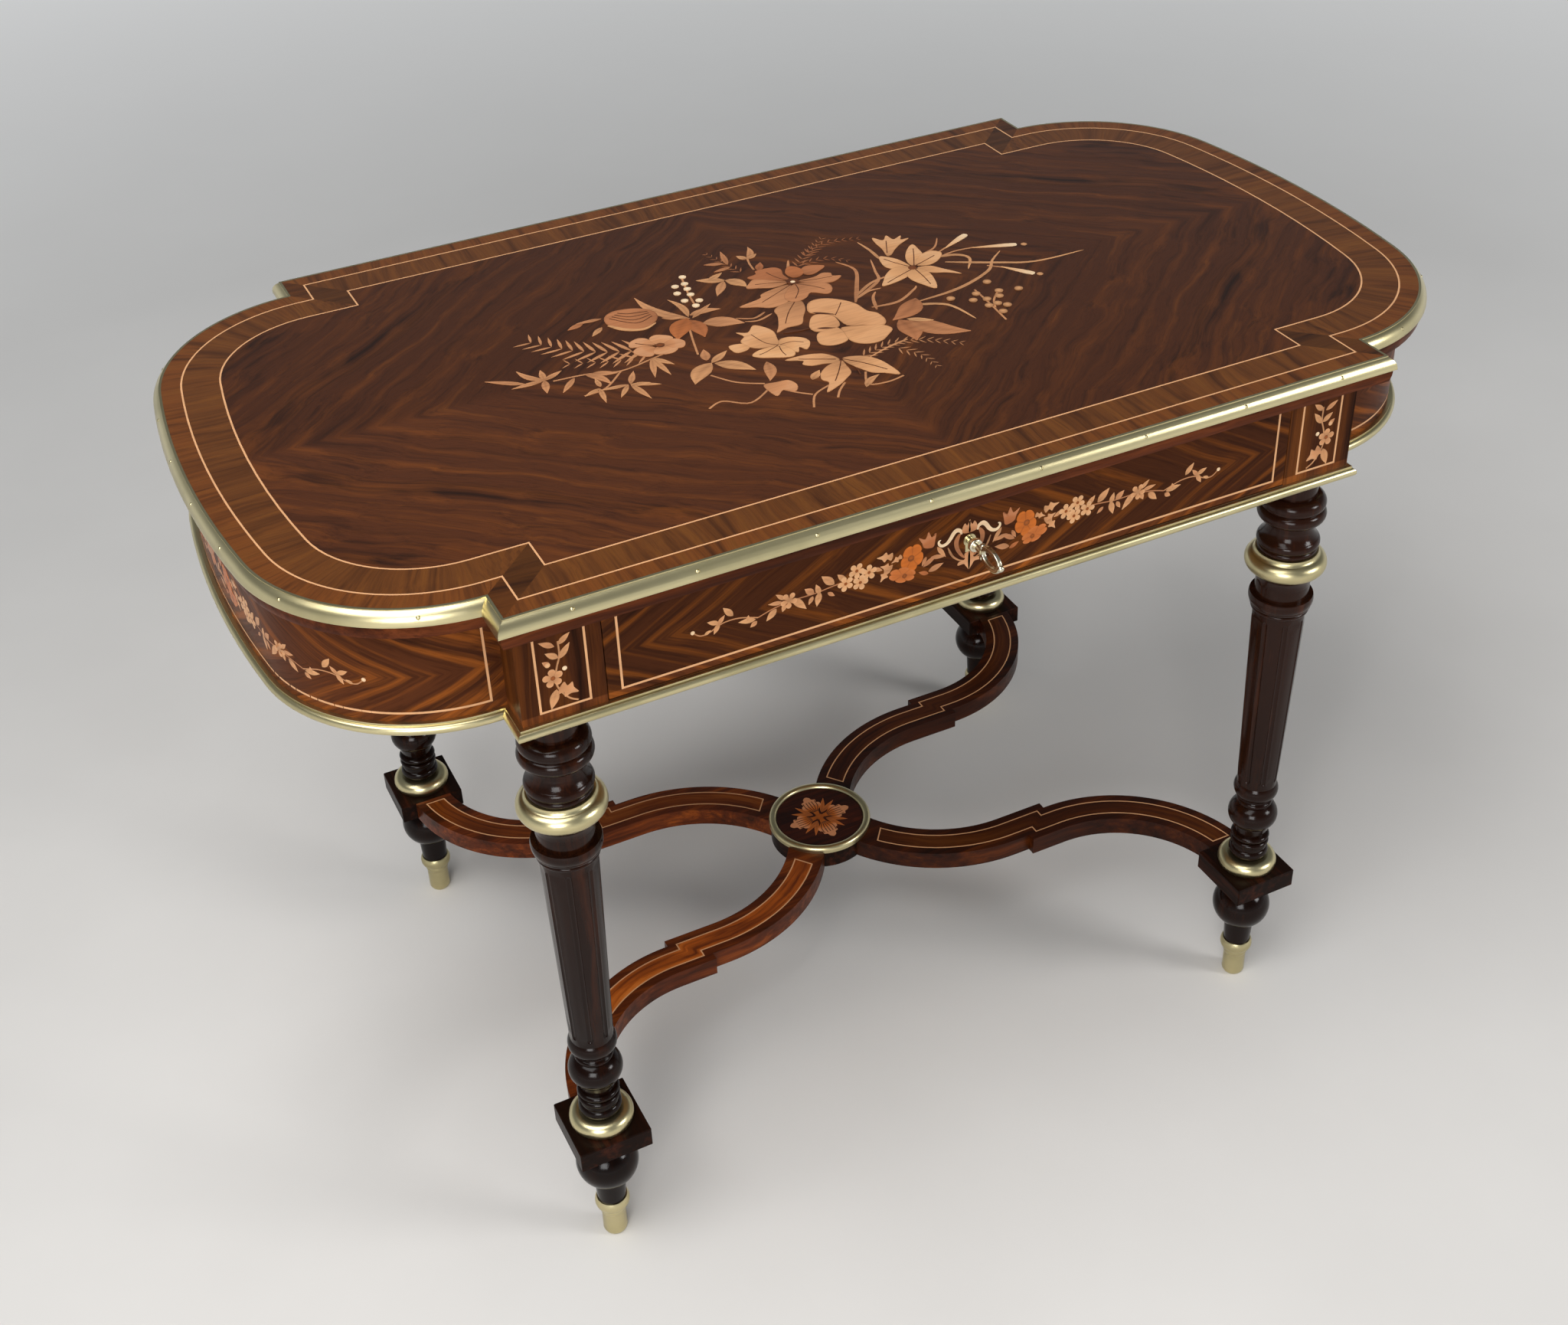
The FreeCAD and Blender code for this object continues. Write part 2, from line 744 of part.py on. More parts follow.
def lock_screws(grow=0.0):
    screws = []
    for side in (-1, 1):
        for z in (
            drawer_front_top - lock_screw_inset - lock_plate_margin,
            drawer_front_top - lock_height - lock_plate_margin + lock_screw_inset,
        ):
            x = side * (lock_width / 2 + lock_plate_margin / 2)
            back = drawer_front_back + lock_plate_thickness
            shank = cylinder(lock_screw_radius + grow, lock_screw_length + grow, x, back, z, vec(0, -1, 0))
            if grow:
                screws.append(shank)
                continue
            head = Part.makeCone(
                lock_screw_head_radius,
                lock_screw_radius,
                lock_screw_head_height,
                vec(x, back, z),
                vec(0, 1, 0),
            )
            screws.append(joined([shank, head]))
    return screws


def side_section(side):
    """Drawer side before its groove is cut."""
    y0 = drawer_front_back - drawer_lap
    bar = box(drawer_inner_half, drawer_half, y0, drawer_rear, drawer_side_bottom, drawer_side_top)
    return in_quarter(bar, side, 1)


def drawer_floor_sheet(grow=0.0):
    half = drawer_inner_half + drawer_groove + grow
    y0 = drawer_front_back - drawer_groove - grow
    y1 = drawer_rear - drawer_groove
    bottom = drawer_floor - drawer_bottom_thickness - grow
    return box(-half, half, y0, y1, bottom, drawer_floor + grow)


def build_drawer():
    groove = drawer_floor_sheet(joint_clearance)
    lock_bottom = drawer_front_top - lock_height
    lock_half = lock_width / 2
    front = box(
        -drawer_half,
        drawer_half,
        -apron_front,
        drawer_front_back,
        drawer_front_bottom,
        drawer_front_top,
    )
    lock_recess = box(
        -lock_half - joint_clearance,
        lock_half + joint_clearance,
        lock_front - joint_clearance,
        drawer_front_back,
        lock_bottom - joint_clearance,
        drawer_front_top,
    )
    hole_rim = key_clearance + escutcheon_rim
    rim_recess = keyhole(hole_rim, -apron_front, escutcheon_depth - apron_front)
    key_way = keyhole(key_clearance, -apron_front, lock_front)
    cuts = [groove, lock_recess, rim_recess, key_way, side_section(-1), side_section(1)]
    write("drawer_front", front.cut(cuts + lock_screws(joint_clearance)))
    write("drawer_side_left", side_section(-1).cut(groove))
    write("drawer_side_right", side_section(1).cut(groove))
    back_y1 = drawer_rear - drawer_groove
    write(
        "drawer_back",
        box(
            -drawer_inner_half,
            drawer_inner_half,
            back_y1 - drawer_back_thickness,
            back_y1,
            drawer_floor + joint_clearance,
            drawer_side_top - drawer_back_drop,
        ),
    )
    write("drawer_bottom", drawer_floor_sheet())
    rim = keyhole(hole_rim, -apron_front - escutcheon_proud, escutcheon_depth - apron_front)
    way = keyhole(key_clearance, -apron_front - escutcheon_proud, escutcheon_depth - apron_front)
    write("escutcheon", rim.cut(way))
    build_lock(lock_bottom, lock_half)


def build_lock(lock_bottom, lock_half):
    plate = box(
        -lock_half - lock_plate_margin,
        lock_half + lock_plate_margin,
        drawer_front_back,
        drawer_front_back + lock_plate_thickness,
        lock_bottom - lock_plate_margin,
        drawer_front_top,
    )
    case = box(-lock_half, lock_half, lock_front, drawer_front_back, lock_bottom, drawer_front_top)
    inside = box(
        lock_wall - lock_half,
        lock_half - lock_wall,
        lock_front + lock_wall,
        drawer_front_back,
        lock_bottom + lock_wall,
        drawer_front_top - lock_wall,
    )
    half_slot = bolt_width / 2 + slide_clearance
    half_gap = bolt_thickness / 2 + slide_clearance
    inside_top = drawer_front_top - lock_wall
    slot = box(-half_slot, half_slot, bolt_y - half_gap, bolt_y + half_gap, inside_top, drawer_front_top)
    key_way = keyhole(key_clearance, lock_front, lock_front + lock_wall)
    case = joined([plate, case]).cut([inside, slot, key_way] + lock_screws(joint_clearance))
    write("lock_case", case)
    write("lock_screws", *lock_screws())
    write(
        "lock_bolt",
        box(
            -bolt_width / 2,
            bolt_width / 2,
            bolt_y - bolt_thickness / 2,
            bolt_y + bolt_thickness / 2,
            drawer_front_top - bolt_height,
            drawer_front_top,
        ),
    )
    build_key()


def build_key():
    """Key in the lock: bit and stem behind the face, collar, neck and pierced bow in front of it."""
    outward = vec(0, -1, 0)
    face = -apron_front - escutcheon_proud
    bit_end = lock_front + lock_wall + slide_clearance
    stem_start = bit_end + key_bit_length
    stem = cylinder(key_stem_radius, stem_start - face + key_neck_length, 0, stem_start, key_axis_z, outward)
    half_bit = key_bit_thickness / 2
    bit = box(-half_bit, half_bit, bit_end, stem_start, key_axis_z - key_bit_reach, key_axis_z)
    collar = cylinder(key_collar_radius, key_collar_length, 0, face - key_collar_offset, key_axis_z, outward)
    collar = collar.makeFillet(key_collar_round, collar.Edges[0:1] + collar.Edges[2:3])
    bow_y = face - key_neck_length - key_bow_length / 2 + key_bow_rim / 2
    bow = pierced_oval(key_bow_length / 2, key_bow_width / 2, key_bow_rim)
    bow.translate(vec(0, bow_y, key_axis_z))
    ball_x = key_bow_thickness / 2
    balls = [Part.makeSphere(key_ball_radius, vec(0, bow_y - key_bow_length / 2, key_axis_z))]
    for side in (-1, 1):
        z = key_axis_z + side * (key_stem_radius + ball_x)
        balls.append(Part.makeSphere(key_ball_radius, vec(0, face - key_neck_length, z)))
    write("key", joined([stem, bit, collar, bow] + balls))


def pierced_oval(half_length, half_width, rim):
    """Oval ring in the YZ plane with its edges rounded."""
    ring = None
    for grow in (0, -rim):
        long_axis = half_length + grow
        short_axis = half_width + grow
        ellipse = Part.Ellipse(ORIGIN, max(long_axis, short_axis), min(long_axis, short_axis))
        face = Part.Face(Part.Wire(ellipse.toShape()))
        solid = face.extrude(vec(0, 0, key_bow_thickness))
        ring = solid if ring is None else ring.cut(solid)
    ring.translate(vec(0, 0, -key_bow_thickness / 2))
    ring.rotate(ORIGIN, vec(0, 1, 0), 90)
    ring.rotate(ORIGIN, vec(1, 0, 0), 90 if half_length > half_width else 0)
    return ring.makeFillet(key_bow_round, [edge for edge in ring.Edges if edge.Closed])


def leg_head_members():
    """Turned members of a leg above its brass collar."""
    return [
        (leg_head_height, None, leg_head_radius),
        (torus_height, torus_radius, quirk_radius),
        (lower_torus_height, lower_torus_radius, lower_torus_foot_radius),
        (cove_height, cove_radius, cove_foot_radius),
        (shoulder_height, shoulder_radius, shoulder_foot_radius),
        (ring_height, ring_radius, ring_foot_radius),
    ]


def leg_members():
    """Turned members of a leg from the apron to the stretcher block."""
    above = leg_head_members() + [
        (0, None, collar_seat_radius),
        (collar_height, None, collar_seat_radius),
        (0, None, flare_radius),
        (flare_height, flare_waist_radius, neck_radius),
        (neck_height, None, neck_radius),
        (0, None, astragal_edge_radius),
        (astragal_height, astragal_radius, astragal_foot_radius),
        (astragal_turn_height, astragal_turn_radius, astragal_quirk_radius),
        (shaft_bead_height, shaft_bead_radius, shaft_top_radius),
    ]
    below = [
        (0, None, foot_ring_edge),
        (foot_ring_height, foot_ring_radius, foot_ring_edge),
        (ball_cove_height, ball_cove_radius, ball_edge_radius),
        (ball_bead_height, ball_bead_radius, ball_edge_radius),
        (ball_height, ball_radius, ball_fillet_radius),
        (taper_height, None, base_radius),
        (waist_height, waist_radius, base_radius),
        (bead_height, bead_radius, base_radius),
        (base_height, None, base_radius),
    ]
    shaft_top = apron_bottom - sum(member[0] for member in above)
    shaft_foot = stretcher_top + sum(member[0] for member in below)
    shaft = (shaft_top - shaft_foot, None, shaft_foot_radius)
    return above + [shaft] + below, shaft_top, shaft_foot


def reed_groove(shaft_top, shaft_foot):
    """Round-ended cutter that lies along the taper of the shaft."""
    height = shaft_top - shaft_foot
    slope = (shaft_top_radius - shaft_foot_radius) / height
    lift = reed_groove_radius - reed_groove_sink
    ends = []
    for z in (shaft_foot + reed_margin, shaft_top - reed_margin):
        ends.append(vec(shaft_foot_radius + (z - shaft_foot) * slope + lift, 0, z))
    run = ends[1] - ends[0]
    body = Part.makeCylinder(reed_groove_radius, run.Length, ends[0], run)
    return joined([body] + [Part.makeSphere(reed_groove_radius, end) for end in ends])


def build_legs():
    members, shaft_top, shaft_foot = leg_members()
    leg = joined([
        turned(leg_head_radius, apron_bottom, members),
        cylinder(leg_spigot_radius, leg_spigot_length, 0, 0, apron_bottom),
        cylinder(leg_dowel_radius, leg_dowel_length, 0, 0, stretcher_top - leg_dowel_length),
    ])
    groove = reed_groove(shaft_top, shaft_foot)
    leg = leg.cut([turned_about(groove, (index + 0.5) * 360 / reed_count) for index in range(reed_count)])
    collar_top = apron_bottom - sum(member[0] for member in leg_head_members())
    collar_bead_height = collar_height - collar_lip_height
    collar = turned(collar_lip_radius, collar_top, [
        (collar_lip_height, collar_hollow_radius, collar_quirk_radius),
        (collar_bead_height, collar_bead_radius, collar_foot_radius),
    ])
    seat_bore = collar_seat_radius + turning_clearance
    collar = collar.cut(cylinder(seat_bore, collar_height, 0, 0, collar_top - collar_height))
    cup = turned(cup_lip_radius, stretcher_top + cup_height, [(cup_height, cup_radius, cup_foot_radius)])
    cup = cup.cut(cylinder(base_radius + turning_clearance, cup_height, 0, 0, stretcher_top))
    collars = []
    cups = []
    for side_name, side in (("left", -1), ("right", 1)):
        for depth_name, depth in (("front", -1), ("back", 1)):
            place = (side * leg_x, depth * leg_y)
            write("leg_%s_%s" % (depth_name, side_name), moved(leg, *place))
            collars.append(moved(collar, *place))
            cups.append(moved(cup, *place))
    write("leg_collars", *collars)
    write("leg_cups", *cups)


def build_feet():
    ankle_height = stretcher_bottom - foot_neck_height - bun_height - ferrule_height + ferrule_seat_depth
    tenon_height = ferrule_height - ferrule_seat_depth - ferrule_floor
    foot = turned(foot_neck_radius, stretcher_bottom, [
        (foot_neck_height, foot_neck_waist, foot_neck_radius),
        (bun_height, bun_radius, ankle_top_radius),
        (ankle_height, None, ankle_foot_radius),
        (0, None, foot_tenon_radius),
        (tenon_height, None, foot_tenon_radius),
    ])
    socket_depth = leg_dowel_length - stretcher_thickness + turning_clearance
    socket_radius = leg_dowel_radius + turning_clearance
    foot = foot.cut(cylinder(socket_radius, socket_depth, 0, 0, stretcher_bottom - socket_depth))
    body_height = ferrule_height - ferrule_collar_height - ferrule_ring_height - ferrule_tip_height
    ferrule = turned(ferrule_lip_radius, ferrule_height, [
        (ferrule_collar_height, ferrule_collar_radius, ferrule_lip_radius),
        (0, None, ferrule_body_radius),
        (ferrule_ring_height, ferrule_ring_radius, ferrule_body_radius),
        (body_height, None, ferrule_body_radius),
        (ferrule_tip_height, ferrule_body_radius, ferrule_tip_radius),
    ])
    seat_z = ferrule_height - ferrule_seat_depth
    ferrule = ferrule.cut([
        turned(ankle_top_radius, ferrule_height + ankle_height, [
            (ankle_height + ferrule_seat_depth, None, ankle_foot_radius + turning_clearance),
        ]),
        cylinder(foot_tenon_radius + turning_clearance, seat_z - ferrule_floor, 0, 0, ferrule_floor),
    ])
    ferrules = []
    for side_name, side in (("left", -1), ("right", 1)):
        for depth_name, depth in (("front", -1), ("back", 1)):
            place = (side * leg_x, depth * leg_y)
            write("foot_%s_%s" % (depth_name, side_name), moved(foot, *place))
            ferrules.append(moved(ferrule, *place))
    write("ferrules", *ferrules)


def arm_outline():
    """Plan of the +X +Y arm: root arc from the hub, stepped straight run and outer arc to the block."""
    outer_x = leg_x - arm_outer_radius
    run_x = outer_x - arm_run_length
    break_y = arm_run_y + arm_break
    root_turn = math.radians(arm_root_angle)
    root = vec(arm_root_radius * math.cos(root_turn), arm_root_radius * math.sin(root_turn))
    rise = arm_run_y - root.y
    reach = run_x - root.x
    heading = 2 * math.atan2(rise, reach)
    root_radius = reach / math.sin(heading)
    root_centre = vec(run_x, arm_run_y - root_radius)
    outer_centre = vec(outer_x, break_y + arm_outer_radius)
    step_x = run_x + arm_run_length / 2 + arm_break_shift
    end_y = max(outer_centre.y, leg_y)

    def root_point(radius, turn):
        return root_centre + vec(-radius * math.sin(turn), radius * math.cos(turn))

    def outer_point(radius, turn):
        return outer_centre + vec(radius * math.sin(turn), -radius * math.cos(turn))

    half_turn = math.pi / 4
    inner = root_radius - arm_half_width
    outer = root_radius + arm_half_width
    long_radius = arm_outer_radius + arm_half_width
    short_radius = arm_outer_radius - arm_half_width
    near_step = step_x + arm_break_slant / 2
    far_step = step_x - arm_break_slant / 2
    near_points = [
        root_point(inner, 0),
        vec(near_step, arm_run_y - arm_half_width),
        vec(near_step, break_y - arm_half_width),
        outer_point(long_radius, 0),
    ]
    end_points = [
        outer_point(long_radius, 2 * half_turn),
        vec(leg_x + arm_half_width, end_y + arm_tenon_length),
        vec(leg_x - arm_half_width, end_y + arm_tenon_length),
        outer_point(short_radius, 2 * half_turn),
    ]
    far_points = [
        outer_point(short_radius, 0),
        vec(far_step, break_y + arm_half_width),
        vec(far_step, arm_run_y + arm_half_width),
        root_point(outer, 0),
    ]
    edges = [arc(root_point(inner, heading), root_point(inner, heading / 2), near_points[0])]
    edges += [line(a, b) for a, b in zip(near_points, near_points[1:])]
    edges.append(arc(near_points[-1], outer_point(long_radius, half_turn), end_points[0]))
    edges += [line(a, b) for a, b in zip(end_points, end_points[1:])]
    edges.append(arc(end_points[-1], outer_point(short_radius, half_turn), far_points[0]))
    edges += [line(a, b) for a, b in zip(far_points, far_points[1:])]
    edges.append(arc(far_points[-1], root_point(outer, heading / 2), root_point(outer, heading)))
    edges.append(line(root_point(outer, heading), root_point(inner, heading)))
    return edges


def arm_tenon_slot(grow):
    """Heights of the tenons in the middle of the stretcher's thickness."""
    middle = (stretcher_top + stretcher_bottom) / 2
    return middle - arm_tenon_thickness / 2 - grow, middle + arm_tenon_thickness / 2 + grow


def block_tenon(grow=0.0):
    half = arm_tenon_width / 2 + grow
    face = leg_y - block_half
    return box(leg_x - half, leg_x + half, face, face + arm_tenon_length + grow, *arm_tenon_slot(grow))


def hub_tenon(grow=0.0):
    half = arm_tenon_width / 2 + grow
    tenon = box(hub_radius - arm_tenon_length - grow, hub_radius, -half, half, *arm_tenon_slot(grow))
    round_end = cylinder(hub_radius, stretcher_thickness, 0, 0, stretcher_bottom)
    return turned_about(tenon.common(round_end), arm_root_angle)


def build_stretcher():
    block = box(
        leg_x - block_half,
        leg_x + block_half,
        leg_y - block_half,
        leg_y + block_half,
        stretcher_bottom,
        stretcher_top,
    )
    hub = cylinder(hub_radius, stretcher_thickness, 0, 0, stretcher_bottom)
    block_room = box(
        leg_x - block_half,
        leg_x + block_half,
        leg_y - block_half,
        leg_y + block_half + arm_outer_radius,
        stretcher_bottom,
        stretcher_top,
    )
    arm = prism(arm_outline(), stretcher_bottom, stretcher_top).cut([hub, block_room])
    arm = max(arm.Solids, key=lambda solid: solid.Volume)
    arm = joined([arm, block_tenon(), hub_tenon()])
    corner_edges = [edge for edge in block.Edges if edge.BoundBox.ZMax > stretcher_bottom + 1]
    block = block.makeFillet(block_edge_round, corner_edges)
    bore = cylinder(leg_dowel_radius + turning_clearance, stretcher_thickness, leg_x, leg_y, stretcher_bottom)
    block = block.cut([bore, block_tenon(joint_clearance)])
    mortises = []
    for side_name, side in (("left", -1), ("right", 1)):
        for depth_name, depth in (("front", -1), ("back", 1)):
            corner = "%s_%s" % (depth_name, side_name)
            write("stretcher_block_" + corner, in_quarter(block, side, depth))
            write("stretcher_arm_" + corner, in_quarter(arm, side, depth))
            mortises.append(in_quarter(hub_tenon(joint_clearance), side, depth))
    write("hub", hub.cut(mortises))
    half_ring = (hub_ring_outer - hub_ring_inner) / 2
    ring_top = stretcher_top + hub_ring_height
    spring_z = ring_top - half_ring
    inner_foot = vec(hub_ring_inner, 0, stretcher_top)
    outer_foot = vec(hub_ring_outer, 0, stretcher_top)
    inner_spring = vec(hub_ring_inner, 0, spring_z)
    outer_spring = vec(hub_ring_outer, 0, spring_z)
    section = [
        line(inner_foot, outer_foot),
        line(outer_foot, outer_spring),
        arc(outer_spring, vec(hub_ring_inner + half_ring, 0, ring_top), inner_spring),
        line(inner_spring, inner_foot),
    ]
    ring = Part.Face(Part.Wire(section)).revolve(ORIGIN, UP, 360)
    write("hub_ring", ring)
    medallion_radius = hub_ring_inner - turning_clearance
    write("hub_medallion", cylinder(medallion_radius, medallion_thickness, 0, 0, stretcher_top))


os.makedirs("parts", exist_ok=True)
build_top()
for side_label, side_sign in (("left", -1), ("right", 1)):
    for depth_label, depth_sign in (("front", -1), ("back", 1)):
        build_post(side_label, side_sign, depth_label, depth_sign)
build_apron()
build_drawer_guides()
build_drawer()
build_legs()
build_feet()
build_stretcher()
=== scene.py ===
import math

import bpy
from bpy.props import FloatProperty, FloatVectorProperty, PointerProperty
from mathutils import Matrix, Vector


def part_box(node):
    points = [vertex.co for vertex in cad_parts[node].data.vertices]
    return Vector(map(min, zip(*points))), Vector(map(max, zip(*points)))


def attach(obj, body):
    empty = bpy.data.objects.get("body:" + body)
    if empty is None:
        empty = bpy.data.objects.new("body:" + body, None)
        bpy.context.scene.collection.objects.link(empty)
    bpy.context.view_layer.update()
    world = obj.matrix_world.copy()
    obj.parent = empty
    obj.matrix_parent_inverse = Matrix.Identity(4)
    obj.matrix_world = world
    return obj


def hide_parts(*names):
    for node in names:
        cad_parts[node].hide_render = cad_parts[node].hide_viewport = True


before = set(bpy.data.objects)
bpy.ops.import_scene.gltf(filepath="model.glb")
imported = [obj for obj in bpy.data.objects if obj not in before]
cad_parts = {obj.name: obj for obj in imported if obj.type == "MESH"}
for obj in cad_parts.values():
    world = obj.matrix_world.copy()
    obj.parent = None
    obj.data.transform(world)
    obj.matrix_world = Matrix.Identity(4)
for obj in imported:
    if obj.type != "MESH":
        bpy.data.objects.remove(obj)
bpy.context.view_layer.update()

bl_info = {
    "name": "Marquetry centre table",
    "version": (1, 0, 0),
    "blender": (4, 5, 0),
    "location": "3D View > Sidebar > Table",
    "description": "Veneers, marquetry, brass and stage for a centre table on its packed CAD frame",
    "category": "Object",
}

# The drawings are in millimetres, the scene in metres.
MM = 0.001

TABLE = "table"
DRAWER = "drawer"


def corners(node):
    """Lowest and highest corner of a CAD node in millimetres."""
    low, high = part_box(node)
    return low / MM, high / MM


def linear(hex_code):
    """Scene-linear RGBA of an sRGB hex colour."""
    values = [int(hex_code[index:index + 2], 16) / 255 for index in (1, 3, 5)]
    return tuple(v / 12.92 if v <= 0.04045 else ((v + 0.055) / 1.055) ** 2.4 for v in values) + (1.0,)


def shades(*hex_codes):
    """Scene-linear colours of a wood, from its veins to its lights."""
    return [linear(hex_code) for hex_code in hex_codes]


def dimmed(tone, share):
    """A colour at a share of its brightness."""
    return tuple(value * share for value in tuple(tone)[:3]) + (1.0,)


def colour(name, description, hex_code):
    """Colour property with an sRGB default."""
    return FloatVectorProperty(
        name=name, description=description, subtype="COLOR", size=4, min=0, max=1, default=linear(hex_code)
    )


def length(name, description, millimetres):
    """Length property with its default in millimetres."""
    return FloatProperty(name=name, description=description, unit="LENGTH", default=millimetres * MM)


def power(name, description, watts):
    """Power property of a light."""
    return FloatProperty(name=name, description=description, unit="POWER", default=watts)


# Plan of the top and apron, in millimetres, read from the frame where a node shows it
EDGE_LOW, EDGE_HIGH = corners("top_edge_band")
BRASS_LOW, BRASS_HIGH = corners("top_brass_front")
POST_LOW, POST_HIGH = corners("post_front_right")
END_HIGH = corners("end_panel_right")[1]
DRAWER_LOW, DRAWER_HIGH = corners("drawer_front")
LEG_LOW, LEG_HIGH = corners("leg_back_right")
BLOCK_LOW, BLOCK_HIGH = corners("stretcher_block_back_right")
MEDALLION_HIGH = corners("hub_medallion")[1]

TOP_Z = EDGE_HIGH.z
BRASS_DEPTH = -EDGE_HIGH.y - BRASS_LOW.y
APRON_FRONT = -POST_LOW.y
APRON_MIDDLE = (DRAWER_LOW.z + DRAWER_HIGH.z) / 2
STEP = APRON_FRONT - END_HIGH.y
LEG_X = (LEG_LOW.x + LEG_HIGH.x) / 2
LEG_Y = (LEG_LOW.y + LEG_HIGH.y) / 2
STRETCHER_Z = BLOCK_HIGH.z

# Slant of the book-matched leaves, and the arc that the grain of the ends follows, in metres
TOP_SLANT = math.radians(41)
APRON_SLANT = math.radians(30)
LOBE_X = 0.30
LOBE_REACH = 0.284


class TableInlaySizes(bpy.types.PropertyGroup):
    """Sizes of the inlays that are laid on the frame."""

    string_width: length("String width", "Width of the light lines on the apron", 1.9)
    inlay_proud: length("Inlay height", "How far the marquetry stands over the veneer", 0.06)
    inlay_thickness: length("Inlay thickness", "Thickness of the sawn marquetry veneer", 0.8)
    outer_string: length("Outer string inset", "Middle of the outer string from the edge of the top", 17)
    inner_string: length("Inner string inset", "Middle of the inner string from the edge of the top", 50)
    top_string: length("Top string width", "Width of the strings on the top", 1.6)
    arm_line: length("Arm string width", "Width of the strings on the arms", 1.3)
    arm_string: length("Arm string offset", "Strings on the arms from the middle line", 9.5)


class TableColours(bpy.types.PropertyGroup):
    """Colours of the woods and metals."""

    rosewood_dark: colour("Rosewood vein", "Black-brown veins of the rosewood", "#210f07")
    rosewood_mid: colour("Rosewood", "Body of the rosewood", "#442311")
    rosewood_light: colour("Rosewood light", "Light flame of the rosewood", "#673917")
    rosewood_fire: colour("Rosewood fire", "Orange streaks of the rosewood", "#884a18")
    band_dark: colour("Band vein", "Dark stripes of the cross-grained bands", "#3b1f0d")
    band_body: colour("Band", "Body of the cross-grained bands", "#5b3416")
    band_light: colour("Band light", "Light stripes of the cross-grained bands", "#6a3f19")
    boxwood: colour("Boxwood", "Light lines of stringing", "#e0a878")
    holly: colour("Holly", "Almost white marquetry wood of berries and scrolls", "#eddcba")
    satinwood: colour("Satinwood", "Pale tan marquetry wood of lilies and large leaves", "#d39d6b")
    pearwood: colour("Pearwood", "Tan marquetry wood of the roses", "#c3885c")
    maple: colour("Stained maple", "Brown-orange marquetry wood of the leaves", "#a6663f")
    tulipwood: colour("Tulipwood", "Strong orange marquetry wood", "#c0651f")
    scorch: colour("Scorch", "Hot-sand shading at the root of a leaf", "#4d2814")
    turned_dark: colour("Turned wood", "Ebonised walnut of the legs and feet", "#241109")
    turned_light: colour("Turned wood light", "Red-brown that shows through the stain", "#42200f")
    arm_warm: colour("Arm veneer", "Warm veneer between the strings of an arm", "#7f3d10")
    brass: colour("Brass", "Polished brass", "#cdc196")
    brass_dull: colour("Brass tarnish", "Brown-green tarnish in the brass", "#8a8158")
    key_metal: colour("Key", "Nickelled steel of the key", "#d8d0b8")


class TableStageSizes(bpy.types.PropertyGroup):
    """Studio round the table."""

    floor_size: length("Floor", "Side of the square floor", 30000)
    key_power: power("Key light", "Power of the large overhead light", 84)
    fill_power: power("Fill light", "Power of the side lights", 45)


def feed(tree, node, links):
    """Link or set a node's inputs by name or index."""
    for socket, value in links.items():
        if isinstance(value, bpy.types.NodeSocket):
            tree.links.new(value, node.inputs[socket])
        else:
            node.inputs[socket].default_value = value


def add(tree, kind, links=None, stops=None, **settings):
    """Add a node, set its properties and a ramp's stops, and link or set its inputs by name or index."""
    node = tree.nodes.new(kind)
    for key, value in settings.items():
        setattr(node, key, value)
    if stops:
        elements = node.color_ramp.elements
        for element, (position, tone) in zip(elements, (stops[0], stops[-1])):
            element.position = position
            element.color = tone
        for position, tone in stops[1:-1]:
            elements.new(position).color = tone
    feed(tree, node, links or {})
    return node


def new_material(name):
    """Empty material with a Principled shader joined to its output."""
    material = bpy.data.materials.new(name)
    material.use_nodes = True
    tree = material.node_tree
    tree.nodes.clear()
    shader = add(tree, "ShaderNodeBsdfPrincipled")
    add(tree, "ShaderNodeOutputMaterial", {"Surface": shader.outputs["BSDF"]})
    return material, tree, shader


def object_axes(tree):
    """X, Y and Z of a point in the table's frame, in metres."""
    place = add(tree, "ShaderNodeTexCoord").outputs["Object"]
    return tuple(add(tree, "ShaderNodeSeparateXYZ", {"Vector": place}).outputs)


def matched_grain(tree, across, up, slant):
    """Grain of four book-matched leaves that meet in a lozenge: along, across and a spare axis."""
    mirrored = {}
    for axis, value in (("X", across), ("Y", up)):
        mirrored[axis] = add(tree, "ShaderNodeMath", {0: value}, operation="ABSOLUTE").outputs[0]
    flat = add(tree, "ShaderNodeCombineXYZ", mirrored).outputs[0]
    turn = {"Vector": flat, "Angle": slant}
    return add(tree, "ShaderNodeVectorRotate", turn, rotation_type="Z_AXIS").outputs["Vector"]


def top_grain(tree):
    x, y, _ = object_axes(tree)
    return matched_grain(tree, x, y, TOP_SLANT)


def apron_grain(tree, along, z):
    """Lozenge of the apron, about its middle height."""
    height = add(tree, "ShaderNodeMath", {0: z, 1: APRON_MIDDLE * MM}, operation="SUBTRACT").outputs[0]
    return matched_grain(tree, along, height, APRON_SLANT)


def drawer_grain(tree):
    x, _, z = object_axes(tree)
    return apron_grain(tree, x, z)


def end_grain(tree):
    """Lozenge that follows the bowed end: the way round is an angle about a point inside the lobe."""
    x, y, z = object_axes(tree)
    side = add(tree, "ShaderNodeMath", {0: x}, operation="ABSOLUTE").outputs[0]
    inward = add(tree, "ShaderNodeMath", {0: side, 1: LOBE_X}, operation="SUBTRACT").outputs[0]
    angle = add(tree, "ShaderNodeMath", {0: y, 1: inward}, operation="ARCTAN2").outputs[0]
    run = add(tree, "ShaderNodeMath", {0: angle, 1: LOBE_REACH}, operation="MULTIPLY").outputs[0]
    return apron_grain(tree, run, z)


